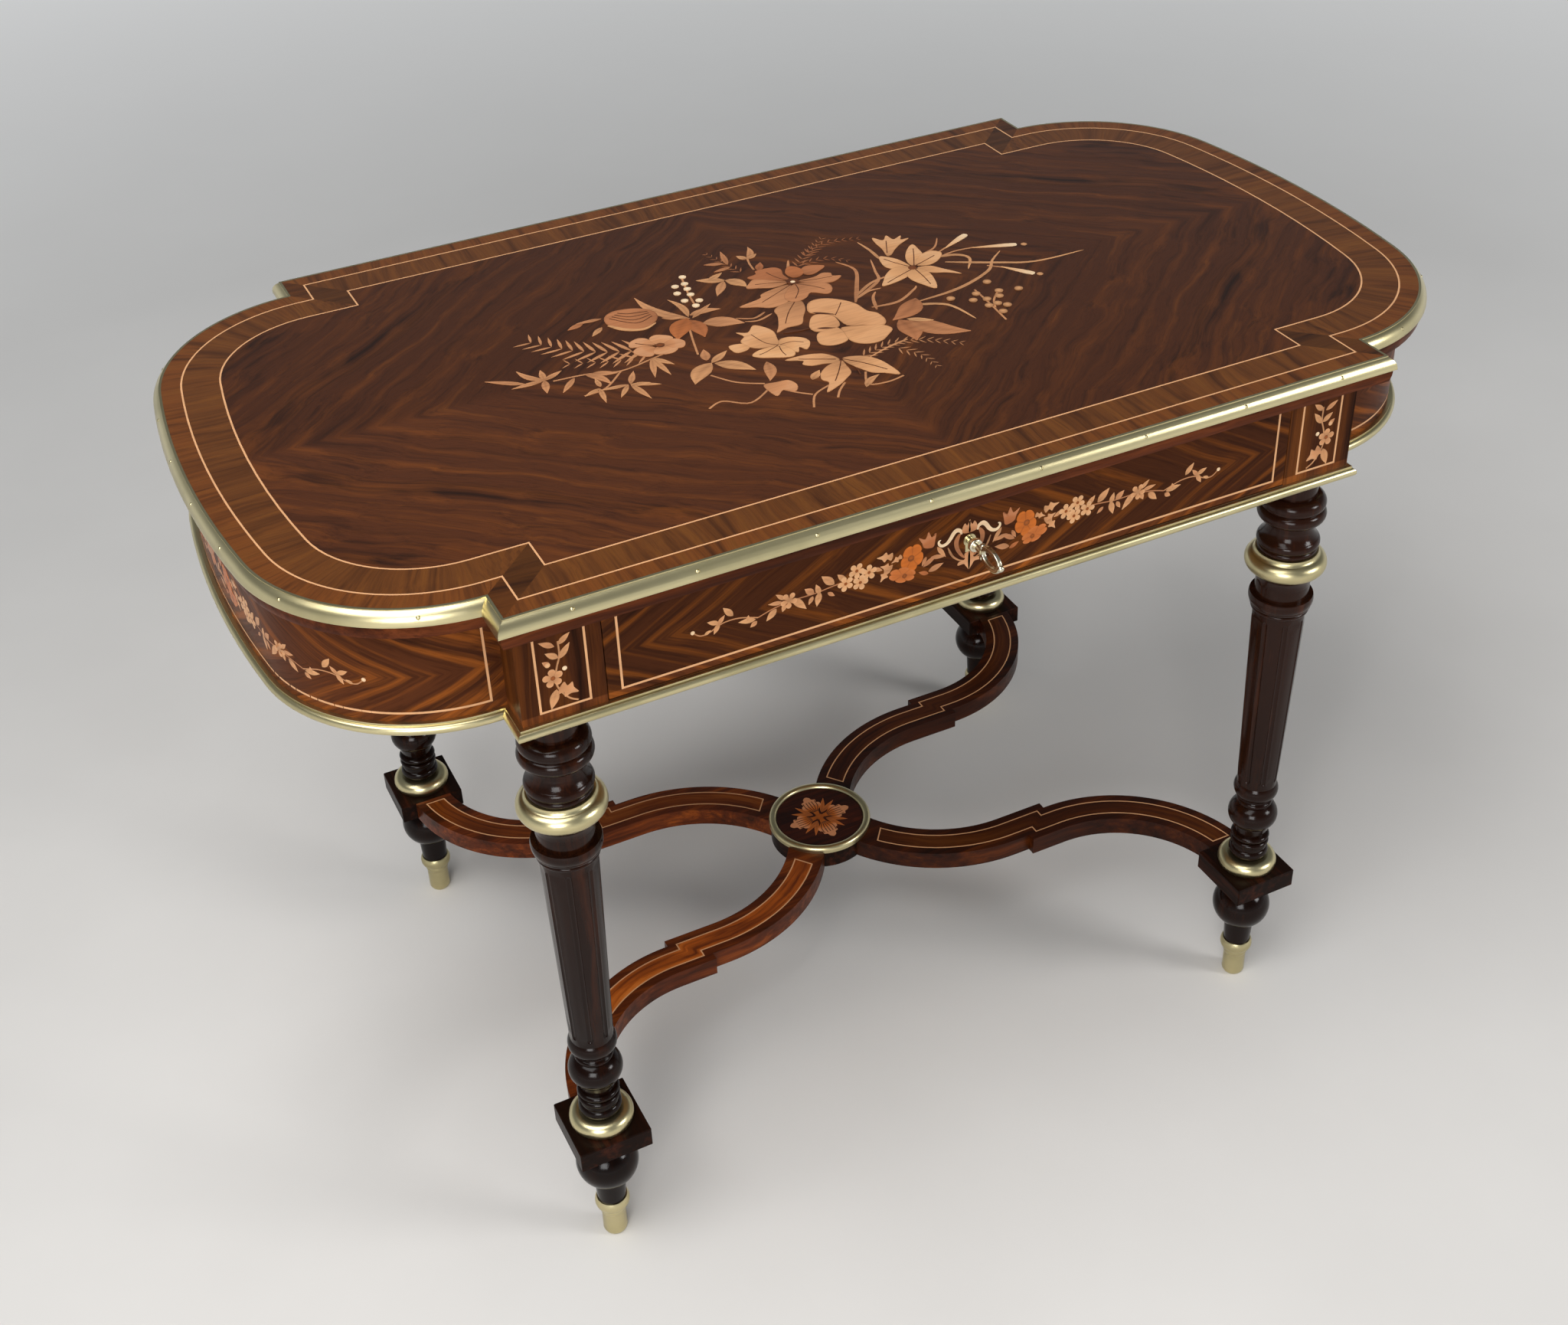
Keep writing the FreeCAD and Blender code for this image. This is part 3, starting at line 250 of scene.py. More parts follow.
def grain_along(order):
    """Grain that runs along the first of three axes."""
    def grain(tree):
        axes = dict(zip("XYZ", object_axes(tree)))
        turned = {own: axes[axis] for own, axis in zip("XYZ", order)}
        return add(tree, "ShaderNodeCombineXYZ", turned).outputs[0]
    return grain


UPRIGHT = grain_along("ZXY")
LENGTHWISE = grain_along("XYZ")
DEPTHWISE = grain_along("YXZ")


def path_grain(tree):
    """Grain along a strip, from its own map: U runs along it and V across, in metres."""
    return add(tree, "ShaderNodeUVMap", uv_map="strip").outputs["UV"]


def strip_grain(tree):
    """Grain across a band, from its own map."""
    axes = add(tree, "ShaderNodeSeparateXYZ", {"Vector": path_grain(tree)}).outputs
    return add(tree, "ShaderNodeCombineXYZ", {"X": axes["Y"], "Y": axes["X"]}).outputs[0]


def figured_wood(
    name, grain, tones, streak=9, run=400, flame=45, fire=0.0, pores=0.35, roughness=0.34, polish=0.12,
    leaves=None, ripple=0,
):
    """Wood under shellac: wandering veins of streak mm by run mm, broad flames, ripples and open pores."""
    material, tree, shader = new_material(name)
    place = grain(tree)
    ripple_run, ripple_width = 110, 70
    darkest, lightest = 0.36, 0.66

    def figure(vector, along, across, detail, shift=0.0):
        """Mottling of a length and width in millimetres. The shift keeps one figure apart from another."""
        size = (1 / (along * MM), 1 / (across * MM), 1 / (across * MM))
        spot = {0: vector, 1: size, 2: (shift, shift, shift)}
        scaled = add(tree, "ShaderNodeVectorMath", spot, operation="MULTIPLY_ADD").outputs[0]
        mottle = {"Vector": scaled, "Scale": 1, "Detail": detail, "Roughness": 0.6}
        return add(tree, "ShaderNodeTexNoise", mottle).outputs

    def stained(below, above, figure_share, low, high, most):
        """Colour with another over it where the figure passes from low to high, up to a share."""
        reach = {"Value": figure_share, "From Min": low, "From Max": high, "To Max": most}
        share = add(tree, "ShaderNodeMapRange", reach).outputs[0]
        sides = {"Factor": share, "A": below, "B": above}
        return add(tree, "ShaderNodeMix", sides, data_type="RGBA").outputs["Result"]

    bent = place
    sways = ((run * 0.6, flame * 2, streak * 3, 0.0), (ripple_run, ripple_width, ripple, 5.7))
    for along, across, reach, shift in sways:
        sway = {0: figure(place, along, across, 2, shift)["Color"], 1: (0.5, 0.5, 0.5)}
        centred = add(tree, "ShaderNodeVectorMath", sway, operation="SUBTRACT").outputs[0]
        moved = {0: centred, 1: (0.0, reach * MM, reach * MM), 2: bent}
        bent = add(tree, "ShaderNodeVectorMath", moved, operation="MULTIPLY_ADD").outputs[0]
    veins = figure(bent, run, streak, 4)["Fac"]
    broad = figure(bent, run * 2, flame, 2)["Fac"]
    mixed = add(tree, "ShaderNodeMix", {"Factor": 0.55, "A": veins, "B": broad}).outputs["Result"]
    step = (lightest - darkest) / (len(tones) - 1)
    stops = [(darkest + step * index, tone) for index, tone in enumerate(tones)]
    body = add(tree, "ShaderNodeValToRGB", {"Fac": mixed}, stops).outputs["Color"]
    if fire:
        streaks = figure(bent, run * 0.9, streak * 1.4, 3, 7.3)["Fac"]
        body = stained(body, bpy.context.scene.table_colours.rosewood_fire, streaks, 0.46, 0.76, fire)
    lines = figure(bent, run * 1.7, streak * 0.6, 3, 3.1)["Fac"]
    body = stained(body, tones[0], lines, 0.52, 0.74, 0.6)
    # A brightness by place, given as leaves: on the top, the bands' steps, the arms and the left legs it
    # holds painted light and shade; on the apron it is a lighter strip of veneer.
    if leaves:
        bright = {0: body, "Scale": leaves(tree)}
        body = add(tree, "ShaderNodeVectorMath", bright, operation="SCALE").outputs[0]

    # Open pores: real ones are 0.2 mm wide, drawn 1.2 mm wide so that they show in the render.
    holes = {"Value": figure(bent, 26, 1.2, 2)["Fac"], "From Min": 0.5, "From Max": 0.72}
    pore = add(tree, "ShaderNodeMapRange", holes).outputs[0]
    relief = add(tree, "ShaderNodeBump", {"Height": pore, "Strength": 0.06, "Distance": 0.0004}, invert=True)
    dull, shiny = roughness + 0.06, roughness - 0.05
    gloss = {"Value": veins, "From Min": 0.3, "From Max": 0.7, "To Min": dull, "To Max": shiny}
    feed(tree, shader, {
        "Base Color": stained(body, tones[0], pore, 0.0, 1.0, pores),
        "Roughness": add(tree, "ShaderNodeMapRange", gloss).outputs[0],
        "Normal": relief.outputs["Normal"],
        "Specular IOR Level": polish,
        "Coat Weight": polish / 3,
        "Coat Roughness": 0.08,
    })
    return material


def quarters(tree, low, high, beyond, start, shares):
    """Brightness of the table's quarters: shares for the left side, the front, and both together."""
    x, y, _ = object_axes(tree)
    sides = []
    for value in (x, y):
        edge = {"Value": value, "From Min": low, "From Max": high, "To Min": 1.0, "To Max": beyond}
        sides.append(add(tree, "ShaderNodeMapRange", edge).outputs[0])
    sides.append(add(tree, "ShaderNodeMath", dict(enumerate(sides)), operation="MULTIPLY").outputs[0])
    total = start
    for side, share in zip(sides, shares):
        more = {0: side, 1: share, 2: total}
        total = add(tree, "ShaderNodeMath", more, operation="MULTIPLY_ADD").outputs[0]
    return total


def book_match_and_sheen(tree):
    """Brightness of four book-matched leaves: one turned over shows its fibres from the other end, and the
    sheen this gives, lightest at the front left, is painted.
    """
    joint = 0.008
    return quarters(tree, -joint, joint, -1.0, 0.97, (0.04, 0.06, 0.09))


def arm_painted_light(right, left, near):
    """Painted light on the four stretcher arms: brightness of the right pair, the far one and the near one on
    the left, lighter on the left where the light falls.
    """
    hub_low, hub_high = -0.04, -0.02
    return lambda tree: quarters(tree, hub_low, hub_high, 0.0, right, (left - right, 0.0, near - left))


def step_grain_and_shade(tree):
    """Brightness of the bands round the top: the short mitred pieces at the steps run their grain another
    way, and the darker look this gives under the light is painted shade.
    """
    x, y, _ = object_axes(tree)
    sides = [add(tree, "ShaderNodeMath", {0: value}, operation="ABSOLUTE").outputs[0] for value in (y, x)]
    slant = add(tree, "ShaderNodeMath", dict(enumerate(sides)), operation="SUBTRACT").outputs[0]
    middle = (TOP_PLAN.front_half - STEP / 2 - TOP_PLAN.break_half) * MM
    away = add(tree, "ShaderNodeMath", {0: slant, 1: middle}, operation="SUBTRACT").outputs[0]
    reach = add(tree, "ShaderNodeMath", {0: away}, operation="ABSOLUTE").outputs[0]
    edge = STEP / 2 * MM
    blur = 0.0005
    # Painted shade on the short pieces: 0.6 of the brightness.
    short = {"Value": reach, "From Min": edge - blur, "From Max": edge + blur, "To Min": 0.6, "To Max": 1.0}
    return add(tree, "ShaderNodeMapRange", short).outputs[0]


def apron_foot(body):
    """Brightness of the apron: the veneer under the lowest string is a lighter strip."""
    strip_low, strip_high, strip_share = 0.6405, 0.6415, 1.7

    def share(tree):
        _, _, z = object_axes(tree)
        strip = {"From Min": strip_low, "From Max": strip_high, "To Min": strip_share, "To Max": body}
        return add(tree, "ShaderNodeMapRange", {"Value": z, **strip}).outputs[0]
    return share


def darker_low_shaded_left(tree):
    """Brightness of the turned wood: darker towards the floor, and painted shade that darkens the left pair.
    """
    x, _, z = object_axes(tree)
    stretcher, knee, middle = 0.16, 0.42, 0.1
    depth = {"Value": z, "From Min": stretcher, "From Max": knee, "To Min": 0.4, "To Max": 1.0}
    # Painted shade: the left pair of legs is darker.
    pair = {"Value": x, "From Min": -middle, "From Max": middle, "To Min": 0.62, "To Max": 1.0}
    shares = [add(tree, "ShaderNodeMapRange", reach).outputs[0] for reach in (depth, pair)]
    return add(tree, "ShaderNodeMath", dict(enumerate(shares)), operation="MULTIPLY").outputs[0]


def rosewood(name, grain, flame=60, streak=9, fire=0.35, leaves=None, ripple=0, polish=0.12):
    # Rio rosewood veneer, knife-cut and French polished: black veins on red-brown with a deep wet gloss.
    tones = bpy.context.scene.table_colours
    stops = (tones.rosewood_dark, tones.rosewood_mid, tones.rosewood_mid, tones.rosewood_light)
    return figured_wood(
        name, grain, stops, streak, run=520, flame=flame, fire=fire, polish=polish, leaves=leaves,
        ripple=ripple,
    )


def crossbanding(name, shade):
    # Rosewood sawn across the grain for the bands: short stripes square to the edge, a little redder.
    tones = bpy.context.scene.table_colours
    stops = (tones.band_dark, shade, tones.band_light)
    figure = {"streak": 7, "run": 200, "flame": 30, "fire": 0.12, "pores": 0.25}
    # The short pieces at the steps get painted shade.
    return figured_wood(name, strip_grain, stops, leaves=step_grain_and_shade, **figure)


def turned_walnut():
    # Ebonised walnut off the lathe: black-brown, redder where the stain has rubbed, under bright shellac.
    tones = bpy.context.scene.table_colours
    stops = (tones.turned_dark, tones.turned_dark, tones.turned_light)
    figure = {"streak": 6, "run": 220, "flame": 30, "pores": 0.2, "roughness": 0.15, "polish": 0.14}
    # The legs are darker towards the floor and carry painted shade on the left pair.
    return figured_wood("ebonised_walnut", UPRIGHT, stops, leaves=darker_low_shaded_left, **figure)


def boxwood_string():
    # Boxwood stringing: pale, close-grained and yellow-pink under the polish, with faint silky streaks.
    material, tree, shader = new_material("boxwood_string")
    body = bpy.context.scene.table_colours.boxwood
    place = add(tree, "ShaderNodeTexCoord").outputs["Object"]
    streak = add(tree, "ShaderNodeTexNoise", {"Vector": place, "Scale": 60, "Detail": 3}).outputs["Fac"]
    tint = {"Factor": streak, "A": dimmed(body, 0.7), "B": body}
    rough = {"Value": streak, "To Min": 0.28, "To Max": 0.42}
    feed(tree, shader, {
        "Base Color": add(tree, "ShaderNodeMix", tint, data_type="RGBA").outputs["Result"],
        "Roughness": add(tree, "ShaderNodeMapRange", rough).outputs[0],
        "Specular IOR Level": 0.15,
        "Coat Weight": 0.05,
        "Coat Roughness": 0.1,
    })
    return material


def marquetry_wood():
    # Sawn marquetry of light woods, scorched in hot sand: brown at the root of a leaf, then its own colour.
    material, tree, shader = new_material("sand_shaded_marquetry")
    tones = bpy.context.scene.table_colours
    tone = add(tree, "ShaderNodeVertexColor", layer_name="tone")
    parts = add(tree, "ShaderNodeSeparateColor", {"Color": tone.outputs["Color"]}).outputs
    stops = ((0.0, tones.satinwood), (0.35, tones.pearwood), (0.7, tones.maple), (1.0, tones.tulipwood))
    woods = add(tree, "ShaderNodeValToRGB", {"Fac": parts["Green"]}, stops).outputs["Color"]
    # A shade over one is holly, the whitest wood.
    white = {"Value": parts["Red"], "From Min": 1.0, "From Max": 2.0}
    pale = add(tree, "ShaderNodeMapRange", white).outputs[0]
    sides = {"Factor": pale, "A": woods, "B": tones.holly}
    body = add(tree, "ShaderNodeMix", sides, data_type="RGBA").outputs["Result"]
    # Grain lines of the light woods, 3 mm apart and 25 mm long, run on the slant.
    place = add(tree, "ShaderNodeTexCoord").outputs["Object"]
    slant = {"Vector": place, "Rotation": (0, 0.7, 0.6), "Scale": (40, 330, 330)}
    slanted = add(tree, "ShaderNodeMapping", slant).outputs[0]
    grain = add(tree, "ShaderNodeTexNoise", {"Vector": slanted, "Scale": 1, "Detail": 2}).outputs["Fac"]
    lines = {"Value": grain, "From Min": 0.45, "From Max": 0.75, "To Max": 0.2}
    depth = add(tree, "ShaderNodeMapRange", lines).outputs[0]
    shade = add(tree, "ShaderNodeMapRange", {"Value": parts["Red"]}).outputs[0]
    lit = add(tree, "ShaderNodeMath", {0: shade, 1: depth}, operation="SUBTRACT", use_clamp=True).outputs[0]
    scorched = {"Factor": lit, "A": tones.scorch, "B": body}
    rough = {"Value": grain, "To Min": 0.3, "To Max": 0.42}
    feed(tree, shader, {
        "Base Color": add(tree, "ShaderNodeMix", scorched, data_type="RGBA").outputs["Result"],
        "Roughness": add(tree, "ShaderNodeMapRange", rough).outputs[0],
        "Specular IOR Level": 0.15,
        "Coat Weight": 0.05,
        "Coat Roughness": 0.09,
    })
    return material


def metal(name, clean, dull, roughness, tarnish):
    """Cast and polished metal: bright, with soft clouds of tarnish and fine rubbing marks."""
    material, tree, shader = new_material(name)
    place = add(tree, "ShaderNodeTexCoord").outputs["Object"]
    clouds = add(tree, "ShaderNodeTexNoise", {"Vector": place, "Scale": 14, "Detail": 4}).outputs["Fac"]
    cloudy = {"Value": clouds, "From Min": 0.45, "From Max": 0.75, "To Max": tarnish}
    tint = {"Factor": add(tree, "ShaderNodeMapRange", cloudy).outputs[0], "A": clean, "B": dull}
    rough = {"Value": clouds, "To Min": roughness - 0.04, "To Max": roughness + 0.12}
    # Polishing scratches: real ones are microns wide, drawn 1.5 mm wide so that they show.
    rub = add(tree, "ShaderNodeMapping", {"Vector": place, "Scale": (25, 25, 650)}).outputs[0]
    marks = add(tree, "ShaderNodeTexNoise", {"Vector": rub, "Scale": 1, "Detail": 2}).outputs["Fac"]
    relief = add(tree, "ShaderNodeBump", {"Height": marks, "Strength": 0.012, "Distance": 0.0002})
    feed(tree, shader, {
        "Base Color": add(tree, "ShaderNodeMix", tint, data_type="RGBA").outputs["Result"],
        "Roughness": add(tree, "ShaderNodeMapRange", rough).outputs[0],
        "Normal": relief.outputs["Normal"],
        "Metallic": 1.0,
    })
    return material


def dress(material, *nodes):
    """Put one material on CAD nodes."""
    for name in nodes:
        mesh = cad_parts[name].data
        mesh.materials.clear()
        mesh.materials.append(material)


def four(name):
    """Names of a node that is made once for each corner."""
    return ["%s_%s_%s" % (name, depth, side) for depth in ("front", "back") for side in ("left", "right")]


def paint(mesh, tones):
    """Keep the shade and warmth of each point on the mesh."""
    layer = mesh.color_attributes.new("tone", "FLOAT_COLOR", "POINT")
    layer.data.foreach_set("color", [value for tone in tones for value in (*tone, 0.0, 1.0)])


def new_object(name, data):
    """Object of a mesh, light or camera, linked to the scene."""
    item = bpy.data.objects.new(name, data)
    bpy.context.scene.collection.objects.link(item)
    return item


def new_piece(name, points, faces, material, body, slot, tones=None, strip=None, thickness=0.0):
    """A finished mesh piece that rides on a body, with its shading and strip map if it has them."""
    mesh = bpy.data.meshes.new(name)
    mesh.from_pydata([tuple(point) for point in points], [], faces)
    mesh.materials.append(material)
    if tones:
        paint(mesh, tones)
    if strip:
        layer = mesh.uv_layers.new(name="strip")
        layer.data.foreach_set("uv", [value for uv in strip for value in uv])
    mesh.update()
    piece = new_object(name, mesh)
    if thickness:
        wall = piece.modifiers.new("Thickness", "SOLIDIFY")
        wall.thickness = thickness
        wall.offset = -1
        apply_modifiers(piece)
    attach(piece, body)
    return piece


def apply_modifiers(piece):
    """Turn what the modifiers make into the piece's own plain mesh."""
    graph = bpy.context.evaluated_depsgraph_get()
    made = piece.evaluated_get(graph)
    mesh = bpy.data.meshes.new_from_object(made, preserve_all_data_layers=True, depsgraph=graph)
    piece.modifiers.clear()
    old = piece.data
    piece.data = mesh
    bpy.data.meshes.remove(old)


def spline_point(a, b, c, d, t):
    """Point between b and c on the smooth line through four points (Catmull-Rom)."""
    return tuple(
        0.5 * (2 * q + (r - p) * t + (2 * p - 5 * q + 4 * r - s) * t ** 2 + (3 * q - p - 3 * r + s) * t ** 3)
        for p, q, r, s in zip(a, b, c, d)
    )


def curve_through(points, steps=6):
    """Smooth open run of points through the given ones."""
    ends = [points[0]] + list(points) + [points[-1]]
    run = []
    for four_points in zip(ends, ends[1:], ends[2:], ends[3:]):
        run += [spline_point(*four_points, step / steps) for step in range(steps)]
    return run + [tuple(points[-1])]


def outline_through(points, steps=4):
    """Smooth closed outline through the given points, anticlockwise."""
    total = len(points)
    run = []
    for index in range(total):
        four_points = [points[(index + shift) % total] for shift in (-1, 0, 1, 2)]
        run += [spline_point(*four_points, step / steps) for step in range(steps)]
    area = sum(a[0] * b[1] - a[1] * b[0] for a, b in zip(run, run[1:] + run[:1]))
    return run if area > 0 else run[::-1]


# Width of each kind of sliver at a share of its length from root to tip, as a share of its widest


def leaf_width(t):
    return max(0.03, math.sin(math.pi * t ** 0.8))


def petal_width(t):
    if t < 0.6:
        return 0.2 + 0.8 * math.sin(math.pi / 2 * t / 0.6)
    return max(0.05, math.sqrt(max(0.0, 1 - ((t - 0.6) / 0.4) ** 2)))


def blade_width(t):
    return max(0.06, min(1.0, 0.35 + 3 * t) * (1 - t) ** 0.45)


def stem_width(t):
    return 1.0


class Drawing:
    """Flat pieces of shaded veneer in millimetres, x to the right and y up, to be laid on a surface."""

    # Height of a layer, and how many there are before they start again from the lowest
    LAYER = 0.003
    LAYERS = 240

    def __init__(self):
        self.points = []
        self.faces = []
        self.tones = []
        self.count = 0

    def next_height(self):
        """Each piece lies a hair over the one before, so that no two fight for the same place."""
        self.count += 1
        return self.LAYER * (self.count % self.LAYERS)

    def sliver(self, spine, width, profile, shade, warmth, vein=0.0, edge=0.15):
        """One piece of veneer along a spine, shaded from its root to its tip."""
        height = self.next_height()
        columns = (-1, -0.55, 0, 0.55, 1)
        first = len(self.points)
        last = len(spine) - 1
        for index, (x, y) in enumerate(spine):
            before = spine[max(0, index - 1)]
            after = spine[min(last, index + 1)]
            run = Vector((after[0] - before[0], after[1] - before[1])).normalized()
            t = index / last
            half = profile(t) * width / 2
            for column in columns:
                self.points.append((x - run.y * half * column, y + run.x * half * column, height))
                tone = shade[0] + (shade[1] - shade[0]) * t - edge * abs(column) ** 3
                self.tones.append((max(0.0, tone - vein * (column == 0)), warmth))
        for row in range(last):
            for column in range(len(columns) - 1):
                a = first + row * len(columns) + column
                b = a + len(columns)
                self.faces.append((a, b, b + 1, a + 1))

    def leaf(self, base, tip, width, warmth=0.3, bend=0.0, shade=(0.7, 1.05), vein=0.22):
        self.sliver(bent(base, tip, bend), width, leaf_width, shade, warmth, vein)

    def petal(self, base, tip, width, warmth=0.1, bend=0.0, shade=(0.7, 1.05)):
        self.sliver(bent(base, tip, bend, True), width, petal_width, shade, warmth)

    def blade(self, points, width, warmth=0.2, shade=(0.7, 1.0)):
        self.sliver(curve_through(points), width, blade_width, shade, warmth, 0.1)

    def stem(self, points, width, warmth=0.3, shade=(0.75, 0.85)):
        self.sliver(curve_through(points), width, stem_width, shade, warmth)

    def line(self, points, width=0.9):
        """Dark line that a knife or a hot point draws on the veneer."""
        self.sliver(curve_through(points), width, stem_width, (0.1, 0.1), 0.6, 0.0, 0.0)

    def rings(self, middle, tone, loops):
        """Faces of rings of points round a middle, each ring as (points, tones)."""
        height = self.next_height()
        first = len(self.points)
        self.points.append((*middle, height))
        self.tones.append(tone)
        for points, tones in loops:
            self.points += [(x, y, height) for x, y in points]
            self.tones += tones
        sides = len(loops[0][0])
        for index in range(sides):
            after = (index + 1) % sides
            self.faces.append((first, first + 1 + index, first + 1 + after))
            for ring in range(len(loops) - 1):
                a = first + 1 + ring * sides
                self.faces.append((a + index, a + sides + index, a + sides + after, a + after))

    def patch(self, outline, middle, root, warmth=0.3, shade=(0.68, 1.06), rim=0.3):
        """Veneer inside an outline, scorched towards its root, with a brown rim."""
        run = outline_through(outline)
        reach = max(math.dist(point, root) for point in run)
        steepness = 1.6

        def tone(point, ring):
            share = min(1.0, steepness * math.dist(point, root) / reach)
            return shade[0] + (shade[1] - shade[0]) * share - rim * (ring == 1.0), warmth

        loops = []
        for ring in (0.35, 0.7, 0.94, 1.0):
            points = [tuple(m + (p - m) * ring for m, p in zip(middle, point)) for point in run]
            loops.append((points, [tone(point, ring) for point in points]))
        self.rings(middle, tone(middle, 0.0), loops)

    def bloom(
        self, middle, radius, petals, turn=0.0, warmth=0.3, cut=0.35, stretch=1.0, lean=0.0, shade=(0.6, 1.1)
    ):
        """Whole flower in one outline: round lobes with a dark line between them and a scorched heart."""
        steps = 8
        slope = math.radians(lean)
        loops = []
        for ring in (0.25, 0.55, 0.85, 0.95, 1.0):
            points, tones = [], []
            for index in range(petals * steps):
                angle = math.radians(turn) + 2 * math.pi * index / (petals * steps)
                lobe = math.sin(math.pi * (index % steps) / steps) ** 0.6
                reach = radius * ring * (1 - cut * (1 - lobe) * ring)
                x, y = reach * math.cos(angle), reach * stretch * math.sin(angle)
                points.append((
                    middle[0] + x * math.cos(slope) - y * math.sin(slope),
                    middle[1] + x * math.sin(slope) + y * math.cos(slope),
                ))
                cleft = 0.3 * (index % steps == 0)
                rim = 0.15 * (ring == 1.0)
                tone = shade[0] + (shade[1] - shade[0]) * ring - cleft - rim
                tones.append((max(0.0, tone), warmth))
            loops.append((points, tones))
        self.rings(middle, (shade[0], warmth), loops)

    def ivy(self, base, tip, width, warmth=0.3, shade=(0.7, 1.06)):
        """Leaf with two pairs of side points."""
        run = Vector((tip[0] - base[0], tip[1] - base[1]))
        side = Vector((-run.y, run.x)).normalized() * width
        half = ((0.02, 0.03), (0.1, 0.4), (0.34, 0.22), (0.48, 0.5), (0.68, 0.2))
        right = [(along, -across) for along, across in half]
        shape = right + [(1.0, 0.0)] + [(along, across) for along, across in reversed(half)]
        outline = [(base[0] + run.x * a + side.x * b, base[1] + run.y * a + side.y * b) for a, b in shape]
        middle = (base[0] + run.x * 0.42, base[1] + run.y * 0.42)
        self.patch(outline, middle, base, warmth, shade)

    def disc(self, centre, radius, warmth=0.1, shade=(1.0, 0.6)):
        """Round eye or berry, shaded from its middle to its rim."""
        sides = 14
        turns = [2 * math.pi * index / sides for index in range(sides)]
        rim = [(centre[0] + radius * math.cos(turn), centre[1] + radius * math.sin(turn)) for turn in turns]
        self.rings(centre, (shade[0], warmth), [(rim, [(shade[1], warmth)] * sides)])

    def extend(self, other, place=lambda x, y: (x, y), flip=False):
        """Add another drawing, moved by place and turned over where that mirrors it."""
        first = len(self.points)
        for x, y, height in other.points:
            self.points.append((*place(x, y), height))
        self.tones += other.tones
        for face in other.faces:
            turned = [first + index for index in face]
            self.faces.append(tuple(reversed(turned)) if flip else tuple(turned))

    def faded(self, share):
        """This drawing with its light woods scorched to a share of their brightness."""
        self.tones = [(shade * share, warmth) for shade, warmth in self.tones]
        return self

    def mirrored(self):
        """This drawing together with its mirror image about x = 0."""
        whole = Drawing()
        whole.extend(self)
        whole.extend(self, lambda x, y: (-x, y), True)
        return whole

    def piece(self, name, place, material, body, slot):
        """Lay the drawing on a surface as one closed piece."""
        sizes = bpy.context.scene.table_inlay
        proud = sizes.inlay_proud / MM
        points = [place(x, y, proud + height) for x, y, height in self.points]
        thickness = sizes.inlay_thickness
        new_piece(name, points, self.faces, material, body, slot, self.tones, None, thickness)


def bent(base, tip, bend, crowded=False):
    """Spine from base to tip that bows to the left by bend times its length, crowded at a round tip."""
    rows = 9
    run = Vector((tip[0] - base[0], tip[1] - base[1]))
    side = Vector((-run.y, run.x)) * bend
    spine = []
    for row in range(rows + 1):
        t = row / rows
        t = math.sin(math.pi / 2 * t) if crowded else t
        bow = math.sin(math.pi * t)
        spine.append((base[0] + run.x * t + side.x * bow, base[1] + run.y * t + side.y * bow))
    return spine


def spray_tree(leaflet, material):
    """Node tree of leaflets in pairs along each spine, smaller towards its tip, and its inputs by name."""
    tree = bpy.data.node_groups.new("Leaf spray", "GeometryNodeTree")
    tree.interface.new_socket("Geometry", in_out="INPUT", socket_type="NodeSocketGeometry")
    sockets = {}
    for key, description in (
        ("Spacing", "Distance between pairs of leaflets"),
        ("Lean", "Angle of a leaflet from the stalk"),
        ("Taper", "Share of the size lost at the tip"),
    ):
        sockets[key] = tree.interface.new_socket(
            key, in_out="INPUT", socket_type="NodeSocketFloat", description=description
        ).identifier
    tree.interface.new_socket("Geometry", in_out="OUTPUT", socket_type="NodeSocketGeometry")
    start = add(tree, "NodeGroupInput").outputs
    spine = add(tree, "GeometryNodeMeshToCurve", {"Mesh": start["Geometry"]}).outputs[0]
    spacing = {"Curve": spine, "Length": start["Spacing"]}
    even = add(tree, "GeometryNodeResampleCurve", spacing, mode="LENGTH").outputs[0]
    factor = add(tree, "GeometryNodeSplineParameter").outputs["Factor"]
    heading = add(tree, "GeometryNodeInputTangent").outputs[0]
    axes = add(tree, "ShaderNodeSeparateXYZ", {"Vector": heading}).outputs
    course = add(tree, "ShaderNodeMath", {0: axes["Y"], 1: axes["X"]}, operation="ARCTAN2").outputs[0]
    size = add(tree, "GeometryNodeInputNamedAttribute", {"Name": "size"}, data_type="FLOAT").outputs[0]
    lost = add(tree, "ShaderNodeMath", {0: factor, 1: start["Taper"]}, operation="MULTIPLY").outputs[0]
    share = add(tree, "ShaderNodeMath", {0: 1.0, 1: lost}, operation="SUBTRACT").outputs[0]
    scale = add(tree, "ShaderNodeMath", {0: size, 1: share}, operation="MULTIPLY").outputs[0]
    unit = add(tree, "GeometryNodeObjectInfo", {"Object": leaflet}).outputs["Geometry"]
    whole = add(tree, "GeometryNodeJoinGeometry")
    for operation in ("ADD", "SUBTRACT"):
        turn = add(tree, "ShaderNodeMath", {0: course, 1: start["Lean"]}, operation=operation).outputs[0]
        spin = add(tree, "ShaderNodeCombineXYZ", {"Z": turn})
        rotation = add(tree, "FunctionNodeEulerToRotation", {"Euler": spin.outputs[0]})
        leaves = add(tree, "GeometryNodeInstanceOnPoints", {
            "Points": even, "Instance": unit, "Rotation": rotation.outputs[0], "Scale": scale,
        })
        tree.links.new(leaves.outputs[0], whole.inputs[0])
    solid = add(tree, "GeometryNodeRealizeInstances", {"Geometry": whole.outputs[0]})
    finish = add(tree, "GeometryNodeSetMaterial", {"Geometry": solid.outputs[0], "Material": material})
    add(tree, "NodeGroupOutput", {"Geometry": finish.outputs[0]})
    return tree, sockets


